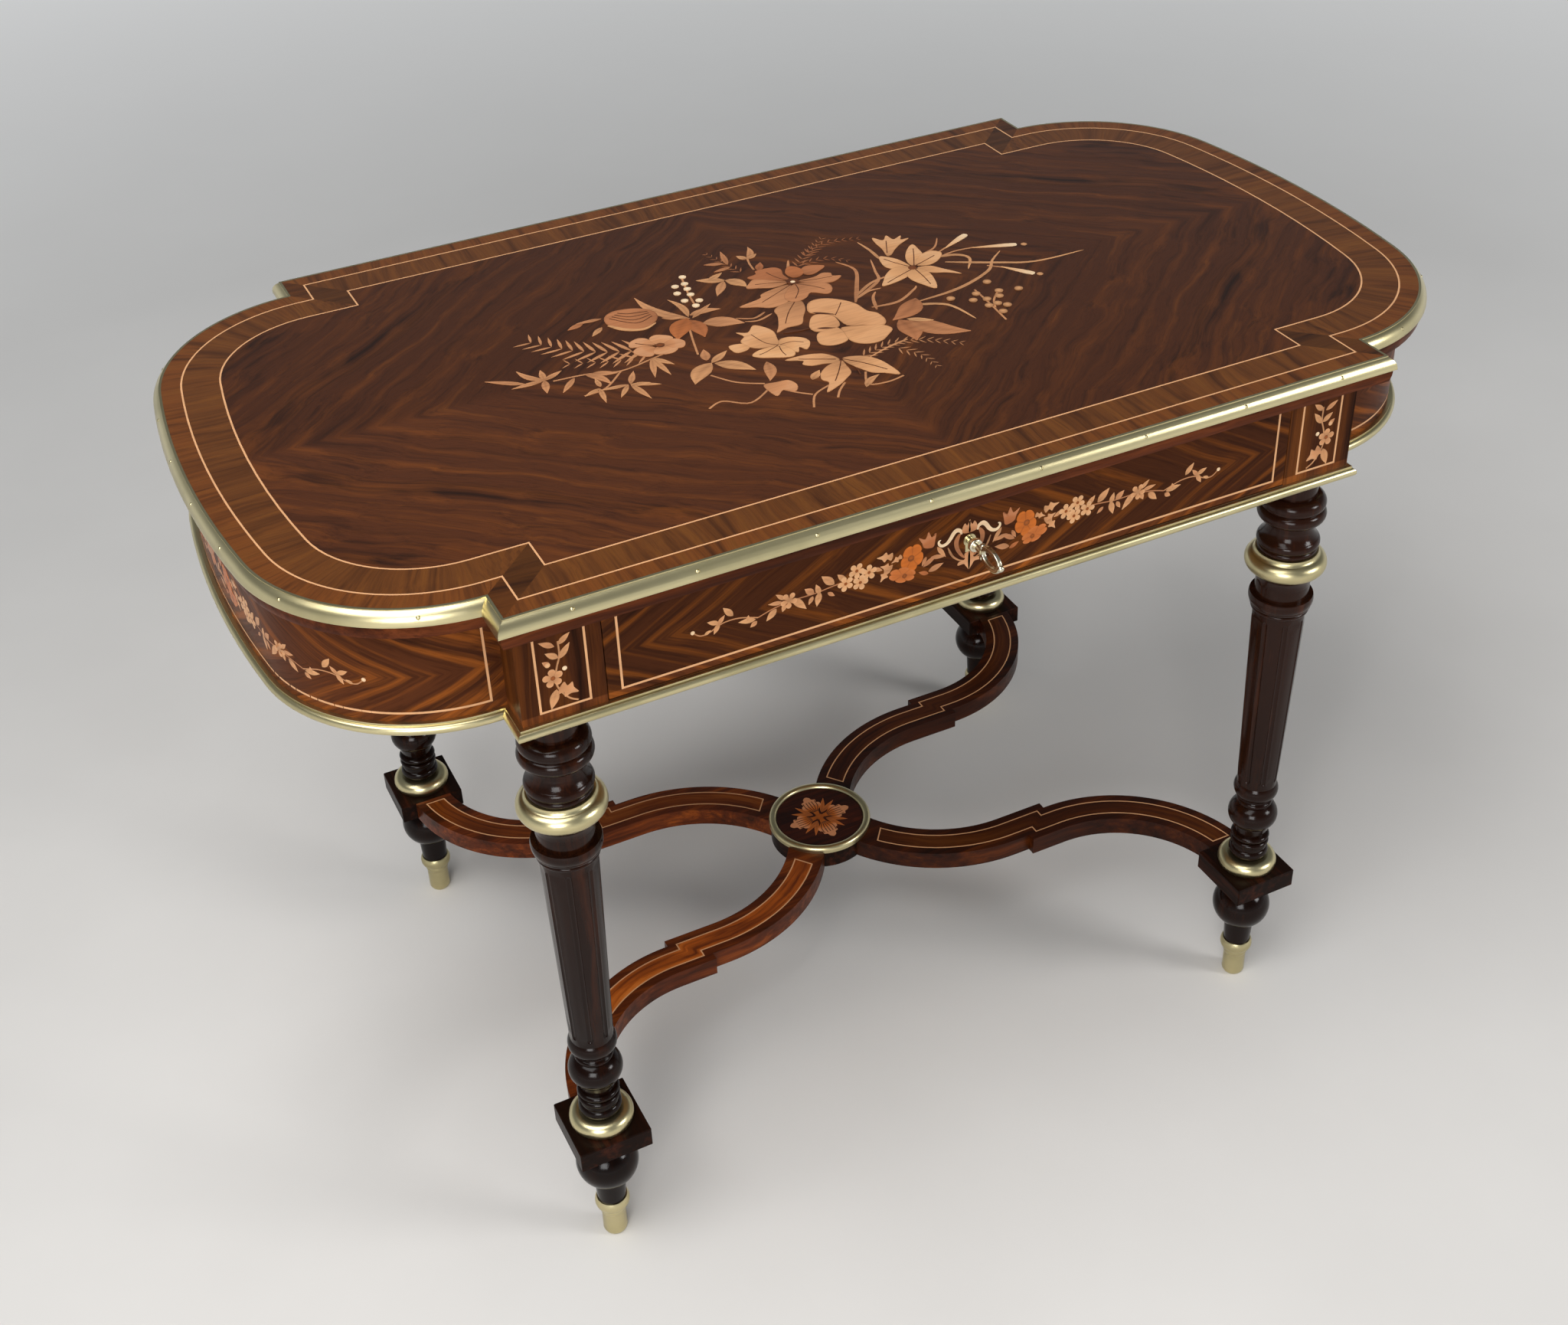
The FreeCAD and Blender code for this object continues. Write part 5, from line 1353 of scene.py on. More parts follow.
class TABLE_OT_bouquet(bpy.types.Operator):
    """Lay the bouquet of flowers, ferns and reeds in the middle of the top"""

    bl_idname = "table.bouquet"
    bl_label = "Bouquet"

    def execute(self, context):
        material = marquetry_wood()
        sprays = Sprays(material)
        drawing = Drawing()
        self.greenery(drawing, sprays)
        self.leaves(drawing)
        self.flowers(drawing)
        drawing.piece("bouquet", on_top, material, TABLE, "boxwood")
        sprays.clear()
        return {"FINISHED"}

    def greenery(self, drawing, sprays):
        """Ferns, stalks, grasses and reeds behind the flowers."""
        ferns = [
            (28, 0.3, [(-150, 14), (-178, 25), (-205, 44), (-232, 76)]),
            (17, 0.35, [(-152, 4), (-182, 8), (-216, 22)]),
        ]
        drawing.extend(sprays.grown(ferns, 10.5, 50, 0.4))
        grasses = [
            (13, 0.3, [(12, -92), (45, -84), (72, -92), (96, -112)]),
            (11, 0.3, [(45, -95), (56, -115), (58, -138)]),
            (12, 0.6, [(42, 96), (60, 115), (88, 138)]),
            (11, 0.7, [(58, 112), (88, 128), (118, 122)]),
            (10, 0.7, [(48, 98), (72, 98), (87, 84)]),
            (10, 0.6, [(-10, 112), (-16, 138), (-22, 162)]),
        ]
        drawing.extend(sprays.grown(grasses, 7, 42, 0.5).faded(0.8))
        stalks = [
            [(-125, 2), (-150, -5), (-182, -12), (-210, -3), (-240, 0)],
            [(-182, -12), (-205, -34), (-226, -38)],
            [(-95, 42), (-104, 12), (-112, -18)],
            [(-118, -58), (-104, -80), (-84, -94)],
            [(-80, -100), (-108, -118), (-128, -104), (-143, -110)],
            [(-78, -106), (-68, -120), (-57, -131)],
            [(-34, -122), (-55, -132), (-66, -151)],
            [(-24, -126), (-34, -136), (-41, -146)],
            [(0, -118), (-8, -138), (8, -143), (25, -140)],
            [(3, 110), (5, 124), (9, 138)],
            [(-76, 66), (-70, 100), (-62, 132)],
            [(150, 45), (168, 54), (182, 61)],
            [(165, 46), (186, 50), (206, 48)],
            [(196, 8), (206, -2), (212, -8)],
            [(160, -30), (158, -58), (154, -95)],
            [(178, -42), (165, -56), (158, -70)],
        ]
        for points in stalks:
            drawing.stem(points, 2.0, 0.3)
        blades = [
            (5, 0.45, [(54, 2), (70, 30), (85, 62), (77, 86)]),
            (4, 0.35, [(60, 10), (92, 30), (100, 50), (108, 74)]),
            (4, 0.3, [(62, 14), (90, 32), (128, 36)]),
            (4, 0.3, [(58, 8), (74, 16), (88, 16)]),
            (5, 0.15, [(160, 48), (182, 43), (190, 30), (177, 10)]),
            (4.5, 0.1, [(166, 34), (205, 10), (240, -7), (292, -9)]),
            (4.5, 0.2, [(104, -25), (150, -20), (190, -3), (206, 15), (223, 29)]),
            (4, 0.35, [(62, -14), (88, -16), (112, -2), (118, 4)]),
            (4, 0.4, [(64, -20), (72, 2), (80, 12)]),
            (4.5, 0.05, [(98, -29), (124, -44), (132, -80)]),
            (3, 0.4, [(150, 58), (172, 66), (186, 84)]),
            (4, 0.2, [(116, 70), (117, 92), (115, 114)]),
            (4, 0.35, [(26, 84), (34, 100), (40, 112)]),
            (3, 0.35, [(-26, 26), (-40, 20), (-54, 28)]),
            (3, 0.3, [(-22, 20), (-38, 14), (-50, 18)]),
            (3, 0.25, [(60, -84), (40, -88), (12, -98)]),
        ]
        for width, warmth, points in blades:
            drawing.blade(points, width, warmth)
        for base, tip in (((181, 60), (214, 77)), ((204, 48), (244, 33)), ((206, -1), (225, -29))):
            drawing.petal(base, tip, 7, 0.0, shade=(1.0, 1.8))
        for x, y, radius in ((250, 30, 3), (229, -32, 3)):
            drawing.disc((x, y), radius)

    def leaves(self, drawing):
        """Leaves, each from its root to its tip with its width, its warmth and its bend if it has one."""
        rows = [
            ((105, -18), (66, -46), 21, 0.6, 0.1), ((71, -48), (66, -90), 21, 0.6, 0.08),
            ((80, -50), (116, -98), 23, 0.5, -0.12), ((78, -50), (98, -64), 7, 0.0),
            ((-66, -60), (-78, -92), 11, 0.4, 0.06), ((-46, -108), (-33, -96), 8, 0.2),
            ((-12, -142), (8, -128), 7, 0.2, 0.1), ((-108, -38), (-136, -66), 17, 0.2, -0.08),
            ((-106, -40), (-80, -68), 15, 0.15, 0.06), ((-108, -38), (-87, -24), 8, 0.2),
            ((-110, -32), (-104, -12), 9, 0.4), ((-90, 48), (-118, 112), 11, 0.25, 0.12),
            ((-90, 52), (-93, 93), 7, 0.2, -0.1), ((-88, 54), (-58, 52), 9, 0.3, 0.1),
            ((-88, 48), (-62, 66), 6, 0.3), ((-92, 46), (-93, 9), 16, 0.75, 0.05),
            ((-84, 34), (-51, 16), 19, 0.35, 0.08), ((-92, 50), (-116, 16), 20, 0.8, -0.06),
            ((-30, 103), (-54, 116), 10, 0.15), ((-32, 102), (-50, 77), 9, 0.3),
            ((-30, 103), (-18, 81), 13, 0.15, 0.1), ((-44, 110), (-26, 119), 7, 0.1),
            ((-16, 136), (-34, 143), 6, 0.5), ((-14, 132), (-8, 162), 6, 0.5),
            ((-14, 126), (-32, 124), 5, 0.5), ((7, 134), (1, 145), 7, 0.2),
            ((8, 134), (19, 158), 7, 0.3, -0.1), ((8, 134), (20, 140), 6, 0.2),
            ((6, 106), (15, 121), 8, 0.7), ((-246, 5), (-262, 32), 7, 0.3, 0.1),
            ((-246, 5), (-243, 24), 6, 0.3), ((-246, 5), (-227, 14), 6, 0.3),
            ((-246, 5), (-252, -18), 7, 0.35), ((-246, 5), (-276, 4), 6, 0.3),
            ((-262, 6), (-292, 28), 6, 0.35), ((-212, -3), (-198, -30), 8, 0.35, 0.1),
            ((-206, -4), (-186, -14), 8, 0.35), ((-222, -4), (-240, -24), 6, 0.35),
            ((-150, -4), (-161, -38), 6, 0.3), ((-150, -4), (-147, -40), 6, 0.25),
            ((-150, -4), (-137, -24), 6, 0.2), ((-210, -32), (-226, -39), 5, 0.2),
            ((-210, -32), (-214, -58), 5, 0.25), ((-208, -30), (-207, -14), 5, 0.25),
            ((-186, -38), (-200, -56), 5, 0.2), ((-184, -38), (-178, -70), 6, 0.25),
            ((-184, -38), (-161, -51), 5, 0.2), ((-184, -38), (-173, -18), 6, 0.3),
            ((-186, -38), (-210, -36), 5, 0.2), ((-184, -40), (-168, -44), 6, 0.2),
            ((-166, 72), (-180, 60), 6, 0.2), ((-178, 88), (-195, 82), 7, 0.6),
            ((-160, 88), (-184, 90), 5, 0.4), ((-112, 62), (-95, 52), 6, 0.3),
        ]
        for row in rows:
            drawing.leaf(*row)

    def flowers(self, drawing):
        """Petals of the large flowers, back to front: wood, root, middle and outline."""
        bud = [
            (0.6, (-112, 66), (-136, 74), [
                (-160, 80), (-158, 68), (-148, 57), (-134, 51), (-122, 56), (-114, 66), (-113, 77),
                (-119, 87), (-131, 94), (-146, 96), (-156, 90),
            ]),
        ]
        hibiscus = [
            (0.3, (10, 30), (-8, 8), [
                (12, 30), (-2, 33), (-17, 25), (-20, 12), (-28, -6), (-34, -16), (-22, -12), (-8, -12),
                (0, 0), (9, 14),
            ]),
            (0.65, (34, 72), (50, 83), [
                (40, 76), (40, 86), (48, 92), (58, 89), (64, 83), (54, 76), (46, 73),
            ]),
            (0.75, (24, 72), (33, 86), [(27, 76), (25, 88), (33, 99), (40, 95), (42, 84), (36, 76)]),
            (0.7, (22, 70), (8, 92), [
                (22, 74), (8, 80), (-6, 90), (-10, 97), (0, 100), (3, 106), (20, 105), (25, 97), (22, 86),
            ]),
            (0.45, (24, 68), (-2, 78), [
                (20, 70), (8, 80), (-6, 90), (-14, 85), (-20, 77), (-10, 72), (4, 66),
            ]),
            (0.5, (22, 66), (48, 60), [
                (28, 67), (44, 67), (55, 71), (62, 67), (61, 61), (68, 57), (58, 50), (48, 51), (36, 58),
            ]),
            (0.4, (22, 66), (-8, 48), [
                (18, 64), (2, 64), (-14, 59), (-19, 52), (-42, 46), (-28, 38), (-16, 30), (0, 33), (14, 46),
            ]),
            (0.5, (23, 66), (24, 46), [
                (22, 63), (6, 50), (1, 38), (8, 29), (20, 33), (28, 40), (40, 30), (48, 36), (50, 48),
                (40, 57),
            ]),
        ]
        left_rose = [
            (0.1, (-62, -26), (-76, -26), [
                (-67, -22), (-75, -18), (-83, -19), (-82, -32), (-73, -33), (-67, -29),
            ]),
            (0.15, (-46, -38), (-52, -18), [
                (-47, 7), (-40, 0), (-36, -12), (-39, -26), (-43, -37), (-58, -36), (-67, -29),
                (-70, -16), (-63, -8), (-66, 2), (-57, -3),
            ]),
            (0.1, (-44, -36), (-30, -42), [
                (-43, -38), (-38, -29), (-28, -29), (-18, -37), (-17, -47), (-25, -57), (-29, -50),
                (-34, -58), (-39, -50),
            ]),
            (0.05, (-44, -36), (-54, -48), [
                (-42, -38), (-62, -38), (-72, -44), (-67, -51), (-58, -56), (-48, -61), (-40, -62),
                (-36, -55), (-38, -45),
            ]),
        ]
        great_rose = [
            (0.2, (14, -30), (36, -14), [
                (8, 6), (14, 20), (24, 25), (36, 21), (47, 10), (53, -2), (55, -18), (61, -27), (61, -42),
                (54, -50), (40, -42), (26, -34), (24, -12), (14, -2),
            ]),
            (0.2, (22, -32), (10, -18), [
                (20, -32), (8, -34), (-3, -32), (-5, -22), (2, -9), (8, -3), (14, -3), (22, -9), (24, -18),
            ]),
            (0.15, (20, -30), (4, -48), [
                (16, -33), (6, -33), (-4, -36), (-10, -47), (-10, -56), (-2, -62), (8, -62), (15, -58),
                (18, -46),
            ]),
            (0.15, (20, -30), (36, -56), [
                (20, -36), (38, -42), (54, -50), (58, -60), (50, -68), (40, -75), (28, -75), (18, -68),
                (15, -58), (17, -46),
            ]),
        ]
        carnation = [
            (0.4, (-136, 14), (-148, 27), [
                (-138, 17), (-150, 20), (-159, 23), (-156, 32), (-146, 36), (-139, 30),
            ]),
            (0.35, (-134, 16), (-130, 25), [
                (-137, 18), (-138, 30), (-130, 34), (-120, 27), (-119, 20), (-128, 16),
            ]),
            (0.45, (-136, 14), (-150, 10), [
                (-140, 14), (-151, 20), (-160, 14), (-157, 4), (-148, -1), (-142, 6),
            ]),
            (0.4, (-134, 14), (-132, 4), [
                (-139, 12), (-145, 3), (-138, -3), (-129, -4), (-122, 2), (-127, 12),
            ]),
            (0.45, (-132, 14), (-120, 11), [(-130, 15), (-119, 20), (-112, 11), (-117, 1), (-126, 4)]),
        ]
        lily = [
            (0.1, (134, 38), (122, 56), [
                (118, 75), (113, 62), (113, 50), (124, 39), (133, 42), (131, 58), (126, 68),
            ]),
            (0.1, (134, 38), (147, 60), [
                (158, 83), (147, 74), (137, 58), (135, 43), (146, 43), (155, 55), (158, 70),
            ]),
            (0.1, (134, 38), (154, 48), [(139, 42), (150, 56), (165, 62), (173, 53), (163, 41), (150, 36)]),
            (0.15, (134, 38), (149, 25), [
                (137, 36), (149, 34), (156, 24), (167, 5), (156, 14), (146, 19), (139, 27),
            ]),
            (0.1, (134, 40), (112, 32), [
                (132, 40), (119, 47), (106, 39), (97, 28), (91, 18), (108, 20), (122, 25), (131, 32),
            ]),
            (0.1, (134, 40), (131, 18), [
                (127, 36), (140, 31), (141, 14), (132, -10), (124, 4), (120, 18), (122, 30),
            ]),
        ]
        trumpet = [
            (0.15, (126, 70), (138, 94), [
                (125, 73), (128, 88), (129, 104), (132, 115), (138, 105), (146, 113), (148, 102),
                (158, 106), (154, 98), (162, 97), (148, 89), (138, 81), (130, 73),
            ]),
        ]
        low_leaves = [
            (0.15, (-10, -90), (-26, -78), [
                (-51, -66), (-38, -65), (-26, -67), (-15, -73), (-9, -86), (-14, -91), (-25, -88),
                (-35, -86), (-41, -80), (-38, -74),
            ]),
            (0.2, (-8, -88), (-22, -108), [
                (-9, -90), (-22, -92), (-34, -101), (-39, -112), (-36, -120), (-45, -134), (-30, -128),
                (-20, -121), (-11, -113), (-9, -100),
            ]),
            (0.15, (-8, -88), (10, -108), [
                (-6, -87), (6, -89), (16, -97), (22, -111), (24, -136), (13, -128), (4, -122), (-1, -112),
                (-6, -100),
            ]),
            (0.4, (-82, -94), (-74, -106), [
                (-86, -96), (-75, -97), (-64, -99), (-61, -110), (-67, -119), (-75, -112), (-84, -119),
                (-87, -108),
            ]),
        ]
        for flower, shade in (
            (bud, (0.6, 0.95)), (low_leaves, (0.62, 1.04)), (carnation, (0.7, 1.06)), (trumpet, (0.7, 1.06)),
            (lily, (0.7, 1.08)), (hibiscus, (0.55, 0.95)), (left_rose, (0.68, 1.06)),
            (great_rose, (0.72, 1.02)),
        ):
            for wood, root, middle, outline in flower:
                drawing.patch(outline, middle, root, wood, shade)
        # Pale lip and stripes of the bud
        drawing.blade([(-160, 72), (-149, 57), (-134, 50), (-120, 56)], 5, 0.1, (0.9, 1.0))
        for bow in (0, 7, 14, 21):
            drawing.line([(-154 + bow / 2, 84 + bow / 3), (-136, 64 + bow), (-118, 70 + bow / 2)], 1.2)
        # Lines inside the flowers
        for points in (
            [(-44, -37), (-52, -28), (-56, -8)], [(-44, -38), (-58, -44), (-66, -46)],
            [(-42, -38), (-30, -38), (-22, -44)], [(-44, -40), (-46, -50), (-46, -58)],
            [(26, -12), (36, 0), (42, 8)], [(23, 66), (0, 54), (-20, 44)], [(23, 64), (20, 50), (10, 36)],
            [(23, 64), (34, 52), (42, 40)], [(26, 66), (44, 62), (60, 60)],
            [(22, 70), (14, 84), (10, 98)], [(20, 70), (4, 76), (-10, 80)],
            [(6, 30), (-8, 14), (-20, -4)], [(134, 38), (124, 56), (119, 68)],
            [(136, 40), (148, 62), (154, 74)], [(132, 36), (112, 28), (98, 22)],
            [(134, 34), (133, 16), (131, 0)], [(-136, 14), (-146, 22), (-152, 28)],
            [(-9, -90), (-18, -104), (-30, -120)], [(-7, -88), (6, -104), (18, -124)],
            [(-8, -96), (-4, -108), (-6, -120)], [(128, 78), (136, 94), (140, 102)],
            [(-12, -86), (-26, -78), (-40, -70)], [(136, 40), (152, 46), (164, 51)],
        ):
            drawing.line(points)
        # Eyes of the flowers, and dark clefts between the petals of the roses
        drawing.disc((23, 69), 6, 0.9, (0.2, 0.05))
        drawing.disc((23, 68), 2.4, 0.0, (1.9, 1.5))
        drawing.disc((133, 38), 4, 0.9, (0.3, 0.15))
        drawing.disc((-134, 14), 4, 0.9, (0.3, 0.1))
        for base, tip in (((0, -27), (15, -34)), ((10, 3), (27, -11)), ((-30, -20), (-4, -24))):
            drawing.leaf(base, tip, 3.4, 0.3, 0.0, (0.1, 0.1))
        bells = (
            (-62, 129), (-76, 114), (-66, 115), (-80, 100), (-68, 104), (-70, 92), (-80, 83), (-68, 77),
            (-75, 69),
        )
        for x, y in bells:
            drawing.disc((x, y), 3.6, 0.0, (2.0, 1.4))
        berries = (
            (157, -38), (148, -48), (178, -43), (160, -52), (173, -52), (155, -64), (164, -64),
            (170, -71), (160, -80), (196, -48), (132, -35), (178, -22),
        )
        for x, y in berries:
            drawing.disc((x, y), 4.0, 0.1, (1.0, 0.5))


class TABLE_OT_garlands(bpy.types.Operator):
    """Lay the flower garlands on the drawer, ends and back, and the sprigs on the pilasters"""

    bl_idname = "table.garlands"
    bl_label = "Garlands and sprigs"

    pilaster_middle = 352.0

    def execute(self, context):
        material = bpy.data.materials["sand_shaded_marquetry"]
        half = self.half_garland()
        front = half.mirrored()
        front.extend(self.cartouche().mirrored())
        front.piece("drawer_garland", on_front, material, DRAWER, "boxwood")
        plain = half.mirrored()
        plain.extend(self.middle_flower())
        plain.piece("back_garland", on_back, material, TABLE, "boxwood")
        plain.piece("right_end_garland", on_right_end, material, TABLE, "boxwood")
        plain.piece("left_end_garland", on_left_end, material, TABLE, "boxwood")
        sprig = self.sprig()
        pair = Drawing()
        pair.extend(sprig, lambda x, y: (x - self.pilaster_middle, y))
        pair.extend(sprig, lambda x, y: (self.pilaster_middle - x, y), True)
        pair.piece("front_pilaster_sprigs", on_front, material, TABLE, "boxwood")
        pair.piece("back_pilaster_sprigs", on_back, material, TABLE, "boxwood")
        return {"FINISHED"}

    @staticmethod
    def pale_leaves(drawing, rows):
        """Straight pale leaves, each from its root to its tip with its width and warmth."""
        for row in rows:
            drawing.leaf(*row, 0.0, (0.8, 1.15), 0.15)

    def half_garland(self):
        """Left half of the long garland, from its tip to the scrolls."""
        drawing = Drawing()
        outer = [(-244, 671), (-239, 667.5), (-232, 668), (-220, 673), (-206, 673), (-190, 668)]
        inner = [(-190, 668), (-176, 672), (-160, 674), (-140, 674), (-118, 676), (-88, 676)]
        drawing.stem(outer, 1.1, 0.3)
        drawing.stem(inner, 1.1, 0.5)
        leaves = [
            ((-236, 667), (-230, 670), 3, 0.1), ((-223, 674), (-233, 678), 4.5, 0.15),
            ((-223, 674), (-228, 665), 4.5, 0.2), ((-224, 673), (-218, 680), 4, 0.3),
            ((-211, 677), (-219, 687), 5.5, 0.15), ((-192, 667), (-207, 669), 5, 0.1),
            ((-199, 668), (-198, 673), 3, 0.2), ((-191, 665), (-197, 661), 4.5, 0.3),
            ((-174, 671), (-183, 662), 6, 0.2), ((-166, 677), (-174, 684), 4, 0.2),
            ((-168, 675), (-181, 677), 4, 0.3), ((-166, 673), (-169, 666), 4.5, 0.2),
            ((-160, 676), (-148, 662), 6.5, 0.2), ((-141, 674), (-149, 681), 6, 0.35),
            ((-142, 672), (-146, 665), 4, 0.3), ((-136, 672), (-139, 682), 5, 0.2),
            ((-136, 674), (-139, 661), 6, 0.2), ((-123, 677), (-134, 688), 7, 0.2),
            ((-129, 671), (-123, 666), 3.5, 0.4), ((-113, 677), (-120, 685), 5, 0.2),
            ((-88, 680), (-80, 676), 4, 0.3), ((-30, 682), (-22, 670), 4, 0.25),
            ((-43, 667), (-30, 675), 4.5, 0.5), ((-36, 674), (-22, 671), 4, 0.4),
            ((-40, 676), (-44, 668), 3.5, 0.5), ((-38, 661), (-24, 665), 5.5, 0.4),
            ((-38, 659), (-47, 663), 4, 0.8),
        ]
        self.pale_leaves(drawing, leaves)
        ivies = [
            ((-70, 686), (-85, 689), 9, 0.2), ((-62, 684), (-72, 680), 6, 0.25),
            ((-71, 675), (-82, 680), 8, 0.3), ((-75, 675), (-82, 665), 8, 0.25),
        ]
        for base, tip, width, warmth in ivies:
            drawing.ivy(base, tip, width, warmth)
        for x, y, turn in ((-103, 683, 20), (-92, 678, 50), (-113, 674, 0), (-100, 671, 35)):
            drawing.bloom((x, y), 7.2, 5, turn, 0.1, 0.55, 1.0, 0.0, (0.9, 1.15))
            drawing.disc((x, y), 1.5, 1.0, (0.5, 0.3))
        drawing.bloom((-163, 675), 7.5, 5, 15, 0.2, 0.65)
        drawing.bloom((-53, 679), 13, 5, 10, 1.0, 0.2, 0.8, 80, (0.75, 1.0))
        drawing.disc((-54, 679), 3, 1.0, (0.6, 0.25))
        drawing.bloom((-62, 665.5), 13, 6, 0, 0.9, 0.2, 0.55, -18, (0.8, 1.06))
        drawing.disc((-60, 664), 2.2, 1.0, (0.6, 0.25))
        drawing.patch([
            (-36, 683), (-42, 685), (-44, 690), (-47, 696), (-41, 693), (-38, 699), (-35, 693),
            (-31, 696), (-32, 689), (-33, 684),
        ], (-38, 689), (-36, 680), 0.75)
        drawing.disc((-245.5, 672.5), 1.8, 0.0, (1.7, 1.3))
        return drawing

    def cartouche(self):
        """Left half of the scrolled frame round the keyhole."""
        drawing = Drawing()
        drawing.blade([(-20, 678), (-16, 669), (-10, 663), (-5, 661)], 2.2, 0.2, (0.6, 0.8))
        drawing.blade([(-9, 688), (-12, 682), (-11.5, 675), (-8, 668), (-4, 663)], 5, 0.6, (0.9, 0.8))
        scroll = [
            (-7.5, 687), (-8.5, 690.5), (-12, 692), (-15, 690), (-18, 685.5), (-21, 682.5), (-25, 681.5),
            (-28, 683.5), (-28.5, 686.5), (-26.5, 687.5),
        ]
        drawing.sliver(curve_through(scroll), 4.6, blade_width, (1.5, 1.7), 0.0, 0.1)
        drawing.patch([
            (0.5, 687), (-6, 687.5), (-7, 692), (-4.5, 696.5), (-2.3, 694), (0.5, 699), (0.5, 693),
        ], (-2.5, 691.5), (0.5, 685), 0.45)
        drawing.patch([
            (0.5, 668), (-4.5, 667), (-4, 662), (-10, 660.5), (-10.5, 657.5), (-5, 657.5), (-2.5, 654),
            (0.5, 651.5),
        ], (-1.8, 660), (0.5, 672), 0.35)
        return drawing

    def middle_flower(self):
        """Rose at the middle of a garland without a keyhole."""
        drawing = Drawing()
        for tip in ((-22, 690), (22, 690), (-22, 667), (22, 667)):
            drawing.leaf((0, 678), tip, 9, 0.5)
        drawing.bloom((0, 678), 15, 5, 18, 0.9, 0.25)
        drawing.bloom((0, 678), 8, 5, 54, 0.5, 0.3)
        return drawing

    def sprig(self):
        """Upright spray of a pilaster, x from the middle of the pilaster."""
        drawing = Drawing()
        stalk = [(-1, 703), (-1, 690), (-4, 680), (-6, 670), (-5, 662), (-1, 654), (4, 648), (10, 644.5)]
        drawing.stem(stalk, 1.5, 0.2)
        leaves = [
            ((-4, 699), (-16, 706), 5, 0.3), ((-1, 700), (9, 708), 5, 0.2),
            ((-2, 688), (-12, 695), 5.5, 0.15), ((-1, 687), (8, 699), 5.5, 0.15),
            ((-9, 683), (-15, 688), 4.5, 0.4), ((-6, 660), (-12, 643), 7.5, 0.2),
        ]
        self.pale_leaves(drawing, leaves)
        drawing.ivy((-4, 661), (11, 652), 14, 0.3)
        drawing.bloom((-8, 671), 8.5, 5, 60, 0.25, 0.5)
        drawing.disc((-8, 671), 2, 0.9, (0.6, 0.3))
        drawing.disc((-11, 684), 2.2, 0.1, (1.3, 1.0))
        drawing.disc((2, 677), 2, 0.0, (1.9, 1.4))
        return drawing


class TABLE_OT_rosette(bpy.types.Operator):
    """Lay the acanthus rosette on the stretcher's medallion"""

    bl_idname = "table.rosette"
    bl_label = "Hub rosette"

    def execute(self, context):
        lobe = Drawing()
        for tip in ((25, 17), (17, 25)):
            lobe.leaf((5, 5), tip, 5.0, 0.9, 0.0, (0.7, 1.15), 0.3)
        half = [
            (4, 2), (10, 3.5), (14, 7.5), (17.5, 10.5), (21.5, 10), (23, 7.5), (27, 8), (28.5, 4.5),
            (32, 3.5),
        ]
        outline = [(x, -y) for x, y in half] + [(34.5, 0)] + half[::-1]
        lobe.patch(outline, (19, 0), (0, 0), 1.0, (0.45, 1.2), 0.0)
        for slope in (-7.5, -3.5, 0, 3.5, 7.5):
            lobe.line([(9, slope / 4), (17, slope * 0.85), (26, slope * 0.9)], 1.0)
        drawing = Drawing()
        for quarter in range(4):
            turn = math.radians(90 * quarter)
            drawing.extend(lobe, lambda x, y, t=turn: (
                x * math.cos(t) - y * math.sin(t), x * math.sin(t) + y * math.cos(t)
            ))
        drawing.disc((0, 0), 4.5, 1.0, (0.7, 0.5))
        wood = bpy.data.materials["sand_shaded_marquetry"]
        drawing.piece("hub_rosette", on_medallion, wood, TABLE, "boxwood")
        return {"FINISHED"}


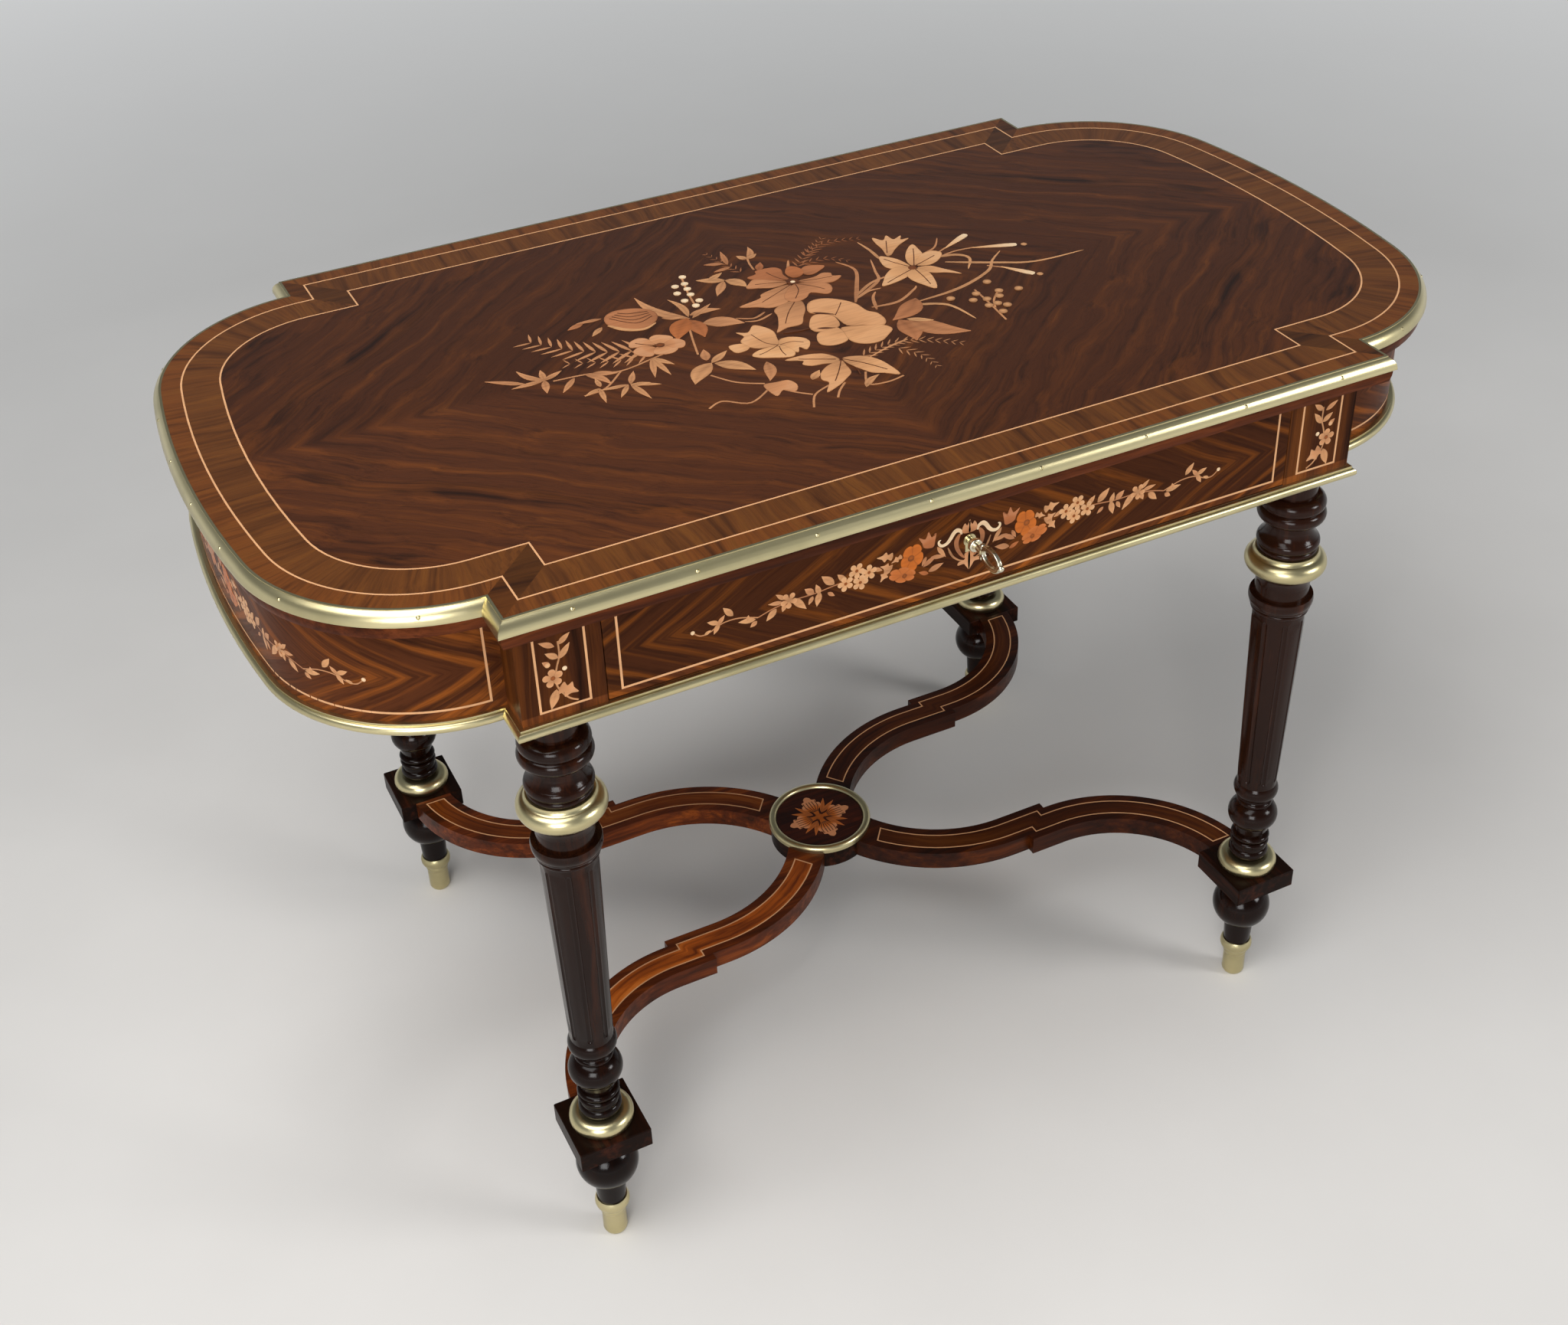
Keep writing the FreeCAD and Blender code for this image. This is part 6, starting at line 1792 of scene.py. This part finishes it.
class TABLE_OT_stage(bpy.types.Operator):
    """Set the pale floor, soft studio lights and the camera"""

    bl_idname = "table.stage"
    bl_label = "Stage"

    camera_place = (-0.70271, -1.45040, 1.56833)
    camera_turn = (55.5279, 1.9658, -26.2259)
    camera_lens = 45.827
    camera_sensor = 36
    camera_shift = -0.0515
    # Place, target and side of each light, in metres, and the side lights' shares of the fill power
    overhead = ((-1.3, -0.6, 3.2), (0.0, 0.0, 0.4), 2.2)
    front_right = ((2.7, -2.5, 2.2), (0.0, 0.0, 0.5), 1.0)
    front_left = ((-2.2, -3.2, 2.0), (0.0, 0.0, 0.5), 1.6)
    right_share = 1.2
    left_share = 2

    def execute(self, context):
        stage = context.scene.table_stage
        self.floor(stage.floor_size)
        self.light("Overhead", *self.overhead, stage.key_power)
        self.light("Front right", *self.front_right, stage.fill_power * self.right_share)
        self.light("Front left", *self.front_left, stage.fill_power * self.left_share)
        self.world()
        self.camera()
        context.scene.view_settings.view_transform = "Standard"
        return {"FINISHED"}

    def floor(self, size):
        """Matt painted floor: pale warm grey with faint mottling."""
        mesh = bpy.data.meshes.new("floor")
        half = size / 2
        square = [(-half, -half, 0), (half, -half, 0), (half, half, 0), (-half, half, 0)]
        mesh.from_pydata(square, [], [(0, 1, 2, 3)])
        material, tree, shader = new_material("painted_floor")
        place = add(tree, "ShaderNodeTexCoord").outputs["Object"]
        mottle = add(tree, "ShaderNodeTexNoise", {"Vector": place, "Scale": 3, "Detail": 4}).outputs["Fac"]
        greys = {"Factor": mottle, "A": linear("#cdcac6"), "B": linear("#dad7d3")}
        tint = add(tree, "ShaderNodeMix", greys, data_type="RGBA").outputs["Result"]
        # The paint is whiter away from the table, where less of the light falls.
        reach = add(tree, "ShaderNodeVectorMath", {0: place}, operation="LENGTH").outputs["Value"]
        away = {"Value": reach, "From Min": 1.0, "From Max": 4.0}
        white = add(tree, "ShaderNodeMapRange", away).outputs[0]
        pale = {"Factor": white, "A": tint, "B": linear("#f7f6f4")}
        # Beyond the lamps' reach it fades into the pale backdrop.
        far = {"Value": reach, "From Min": 2.0, "From Max": 5.5, "To Max": 0.58}
        fade = {0: add(tree, "ShaderNodeMapRange", far).outputs[0], 1: self.seen(tree)}
        feed(tree, shader, {
            "Base Color": add(tree, "ShaderNodeMix", pale, data_type="RGBA").outputs["Result"],
            "Roughness": 0.85,
            "Emission Color": linear("#f4f4f3"),
            "Emission Strength": add(tree, "ShaderNodeMath", fade, operation="MULTIPLY").outputs[0],
        })
        mesh.materials.append(material)
        new_object("floor", mesh)

    def light(self, name, place, target, size, power):
        """Square soft light that faces its target."""
        lamp = bpy.data.lights.new(name, "AREA")
        lamp.shape = "SQUARE"
        lamp.size = size
        lamp.energy = power
        holder = new_object(name, lamp)
        holder.location = place
        holder.rotation_euler = (Vector(target) - Vector(place)).to_track_quat("-Z", "Y").to_euler()

    @staticmethod
    def seen(tree):
        """One where the camera sees a point directly, in a reflection or through glass."""
        path = add(tree, "ShaderNodeLightPath").outputs
        total = path["Is Camera Ray"]
        for ray in ("Is Glossy Ray", "Is Transmission Ray"):
            either = {0: total, 1: path[ray]}
            total = add(tree, "ShaderNodeMath", either, operation="ADD", use_clamp=True).outputs[0]
        return total

    def world(self):
        """Pale backdrop low down, seen directly and in metal; higher up the even light of the studio."""
        world = bpy.data.worlds.new("studio")
        world.use_nodes = True
        tree = world.node_tree
        tree.nodes.clear()
        place = add(tree, "ShaderNodeTexCoord").outputs["Generated"]
        height = add(tree, "ShaderNodeSeparateXYZ", {"Vector": place}).outputs["Z"]
        rise = {"Value": height, "From Min": 0.05, "From Max": 0.4, "To Min": 1.0, "To Max": 0.0}
        low = {0: add(tree, "ShaderNodeMapRange", rise).outputs[0], 1: self.seen(tree)}
        share = add(tree, "ShaderNodeMath", low, operation="MULTIPLY").outputs[0]
        tones = {"Factor": share, "A": dimmed(linear("#a3a9af"), 0.4), "B": linear("#dcdedf")}
        tint = add(tree, "ShaderNodeMix", tones, data_type="RGBA").outputs["Result"]
        sky = add(tree, "ShaderNodeBackground", {"Color": tint})
        add(tree, "ShaderNodeOutputWorld", {"Surface": sky.outputs[0]})
        bpy.context.scene.world = world

    def camera(self):
        """Camera at the photograph's place and angle."""
        data = bpy.data.cameras.new("camera")
        data.sensor_fit = "HORIZONTAL"
        data.sensor_width = self.camera_sensor
        data.lens = self.camera_lens
        data.shift_y = self.camera_shift
        camera = new_object("camera", data)
        camera.location = self.camera_place
        camera.rotation_euler = [math.radians(angle) for angle in self.camera_turn]
        bpy.context.scene.camera = camera


OPERATORS = (
    TABLE_OT_woods,
    TABLE_OT_leg_rings,
    TABLE_OT_metals,
    TABLE_OT_bands,
    TABLE_OT_strings,
    TABLE_OT_arm_veneers,
    TABLE_OT_bouquet,
    TABLE_OT_garlands,
    TABLE_OT_rosette,
    TABLE_OT_stage,
)


class TABLE_PT_panel(bpy.types.Panel):
    """Lists the steps that dress the table"""

    bl_idname = "TABLE_PT_panel"
    bl_label = "Centre table"
    bl_space_type = "VIEW_3D"
    bl_region_type = "UI"
    bl_category = "Table"

    def draw(self, context):
        for operator in OPERATORS:
            self.layout.operator(operator.bl_idname)
        for group in (context.scene.table_inlay, context.scene.table_colours, context.scene.table_stage):
            for key in group.bl_rna.properties.keys():
                if key not in ("rna_type", "name"):
                    self.layout.prop(group, key)


GROUPS = {"table_inlay": TableInlaySizes, "table_colours": TableColours, "table_stage": TableStageSizes}


def register():
    for key, group in GROUPS.items():
        bpy.utils.register_class(group)
        setattr(bpy.types.Scene, key, PointerProperty(type=group))
    for operator in OPERATORS:
        bpy.utils.register_class(operator)
    bpy.utils.register_class(TABLE_PT_panel)


def unregister():
    bpy.utils.unregister_class(TABLE_PT_panel)
    for operator in reversed(OPERATORS):
        bpy.utils.unregister_class(operator)
    for key, group in GROUPS.items():
        delattr(bpy.types.Scene, key)
        bpy.utils.unregister_class(group)


def main():
    register()
    bpy.ops.table.woods()
    bpy.ops.table.leg_rings()
    bpy.ops.table.metals()
    bpy.ops.table.bands()
    bpy.ops.table.strings()
    bpy.ops.table.arm_veneers()
    bpy.ops.table.bouquet()
    bpy.ops.table.garlands()
    bpy.ops.table.rosette()
    bpy.ops.table.stage()


if __name__ == "__main__":
    main()
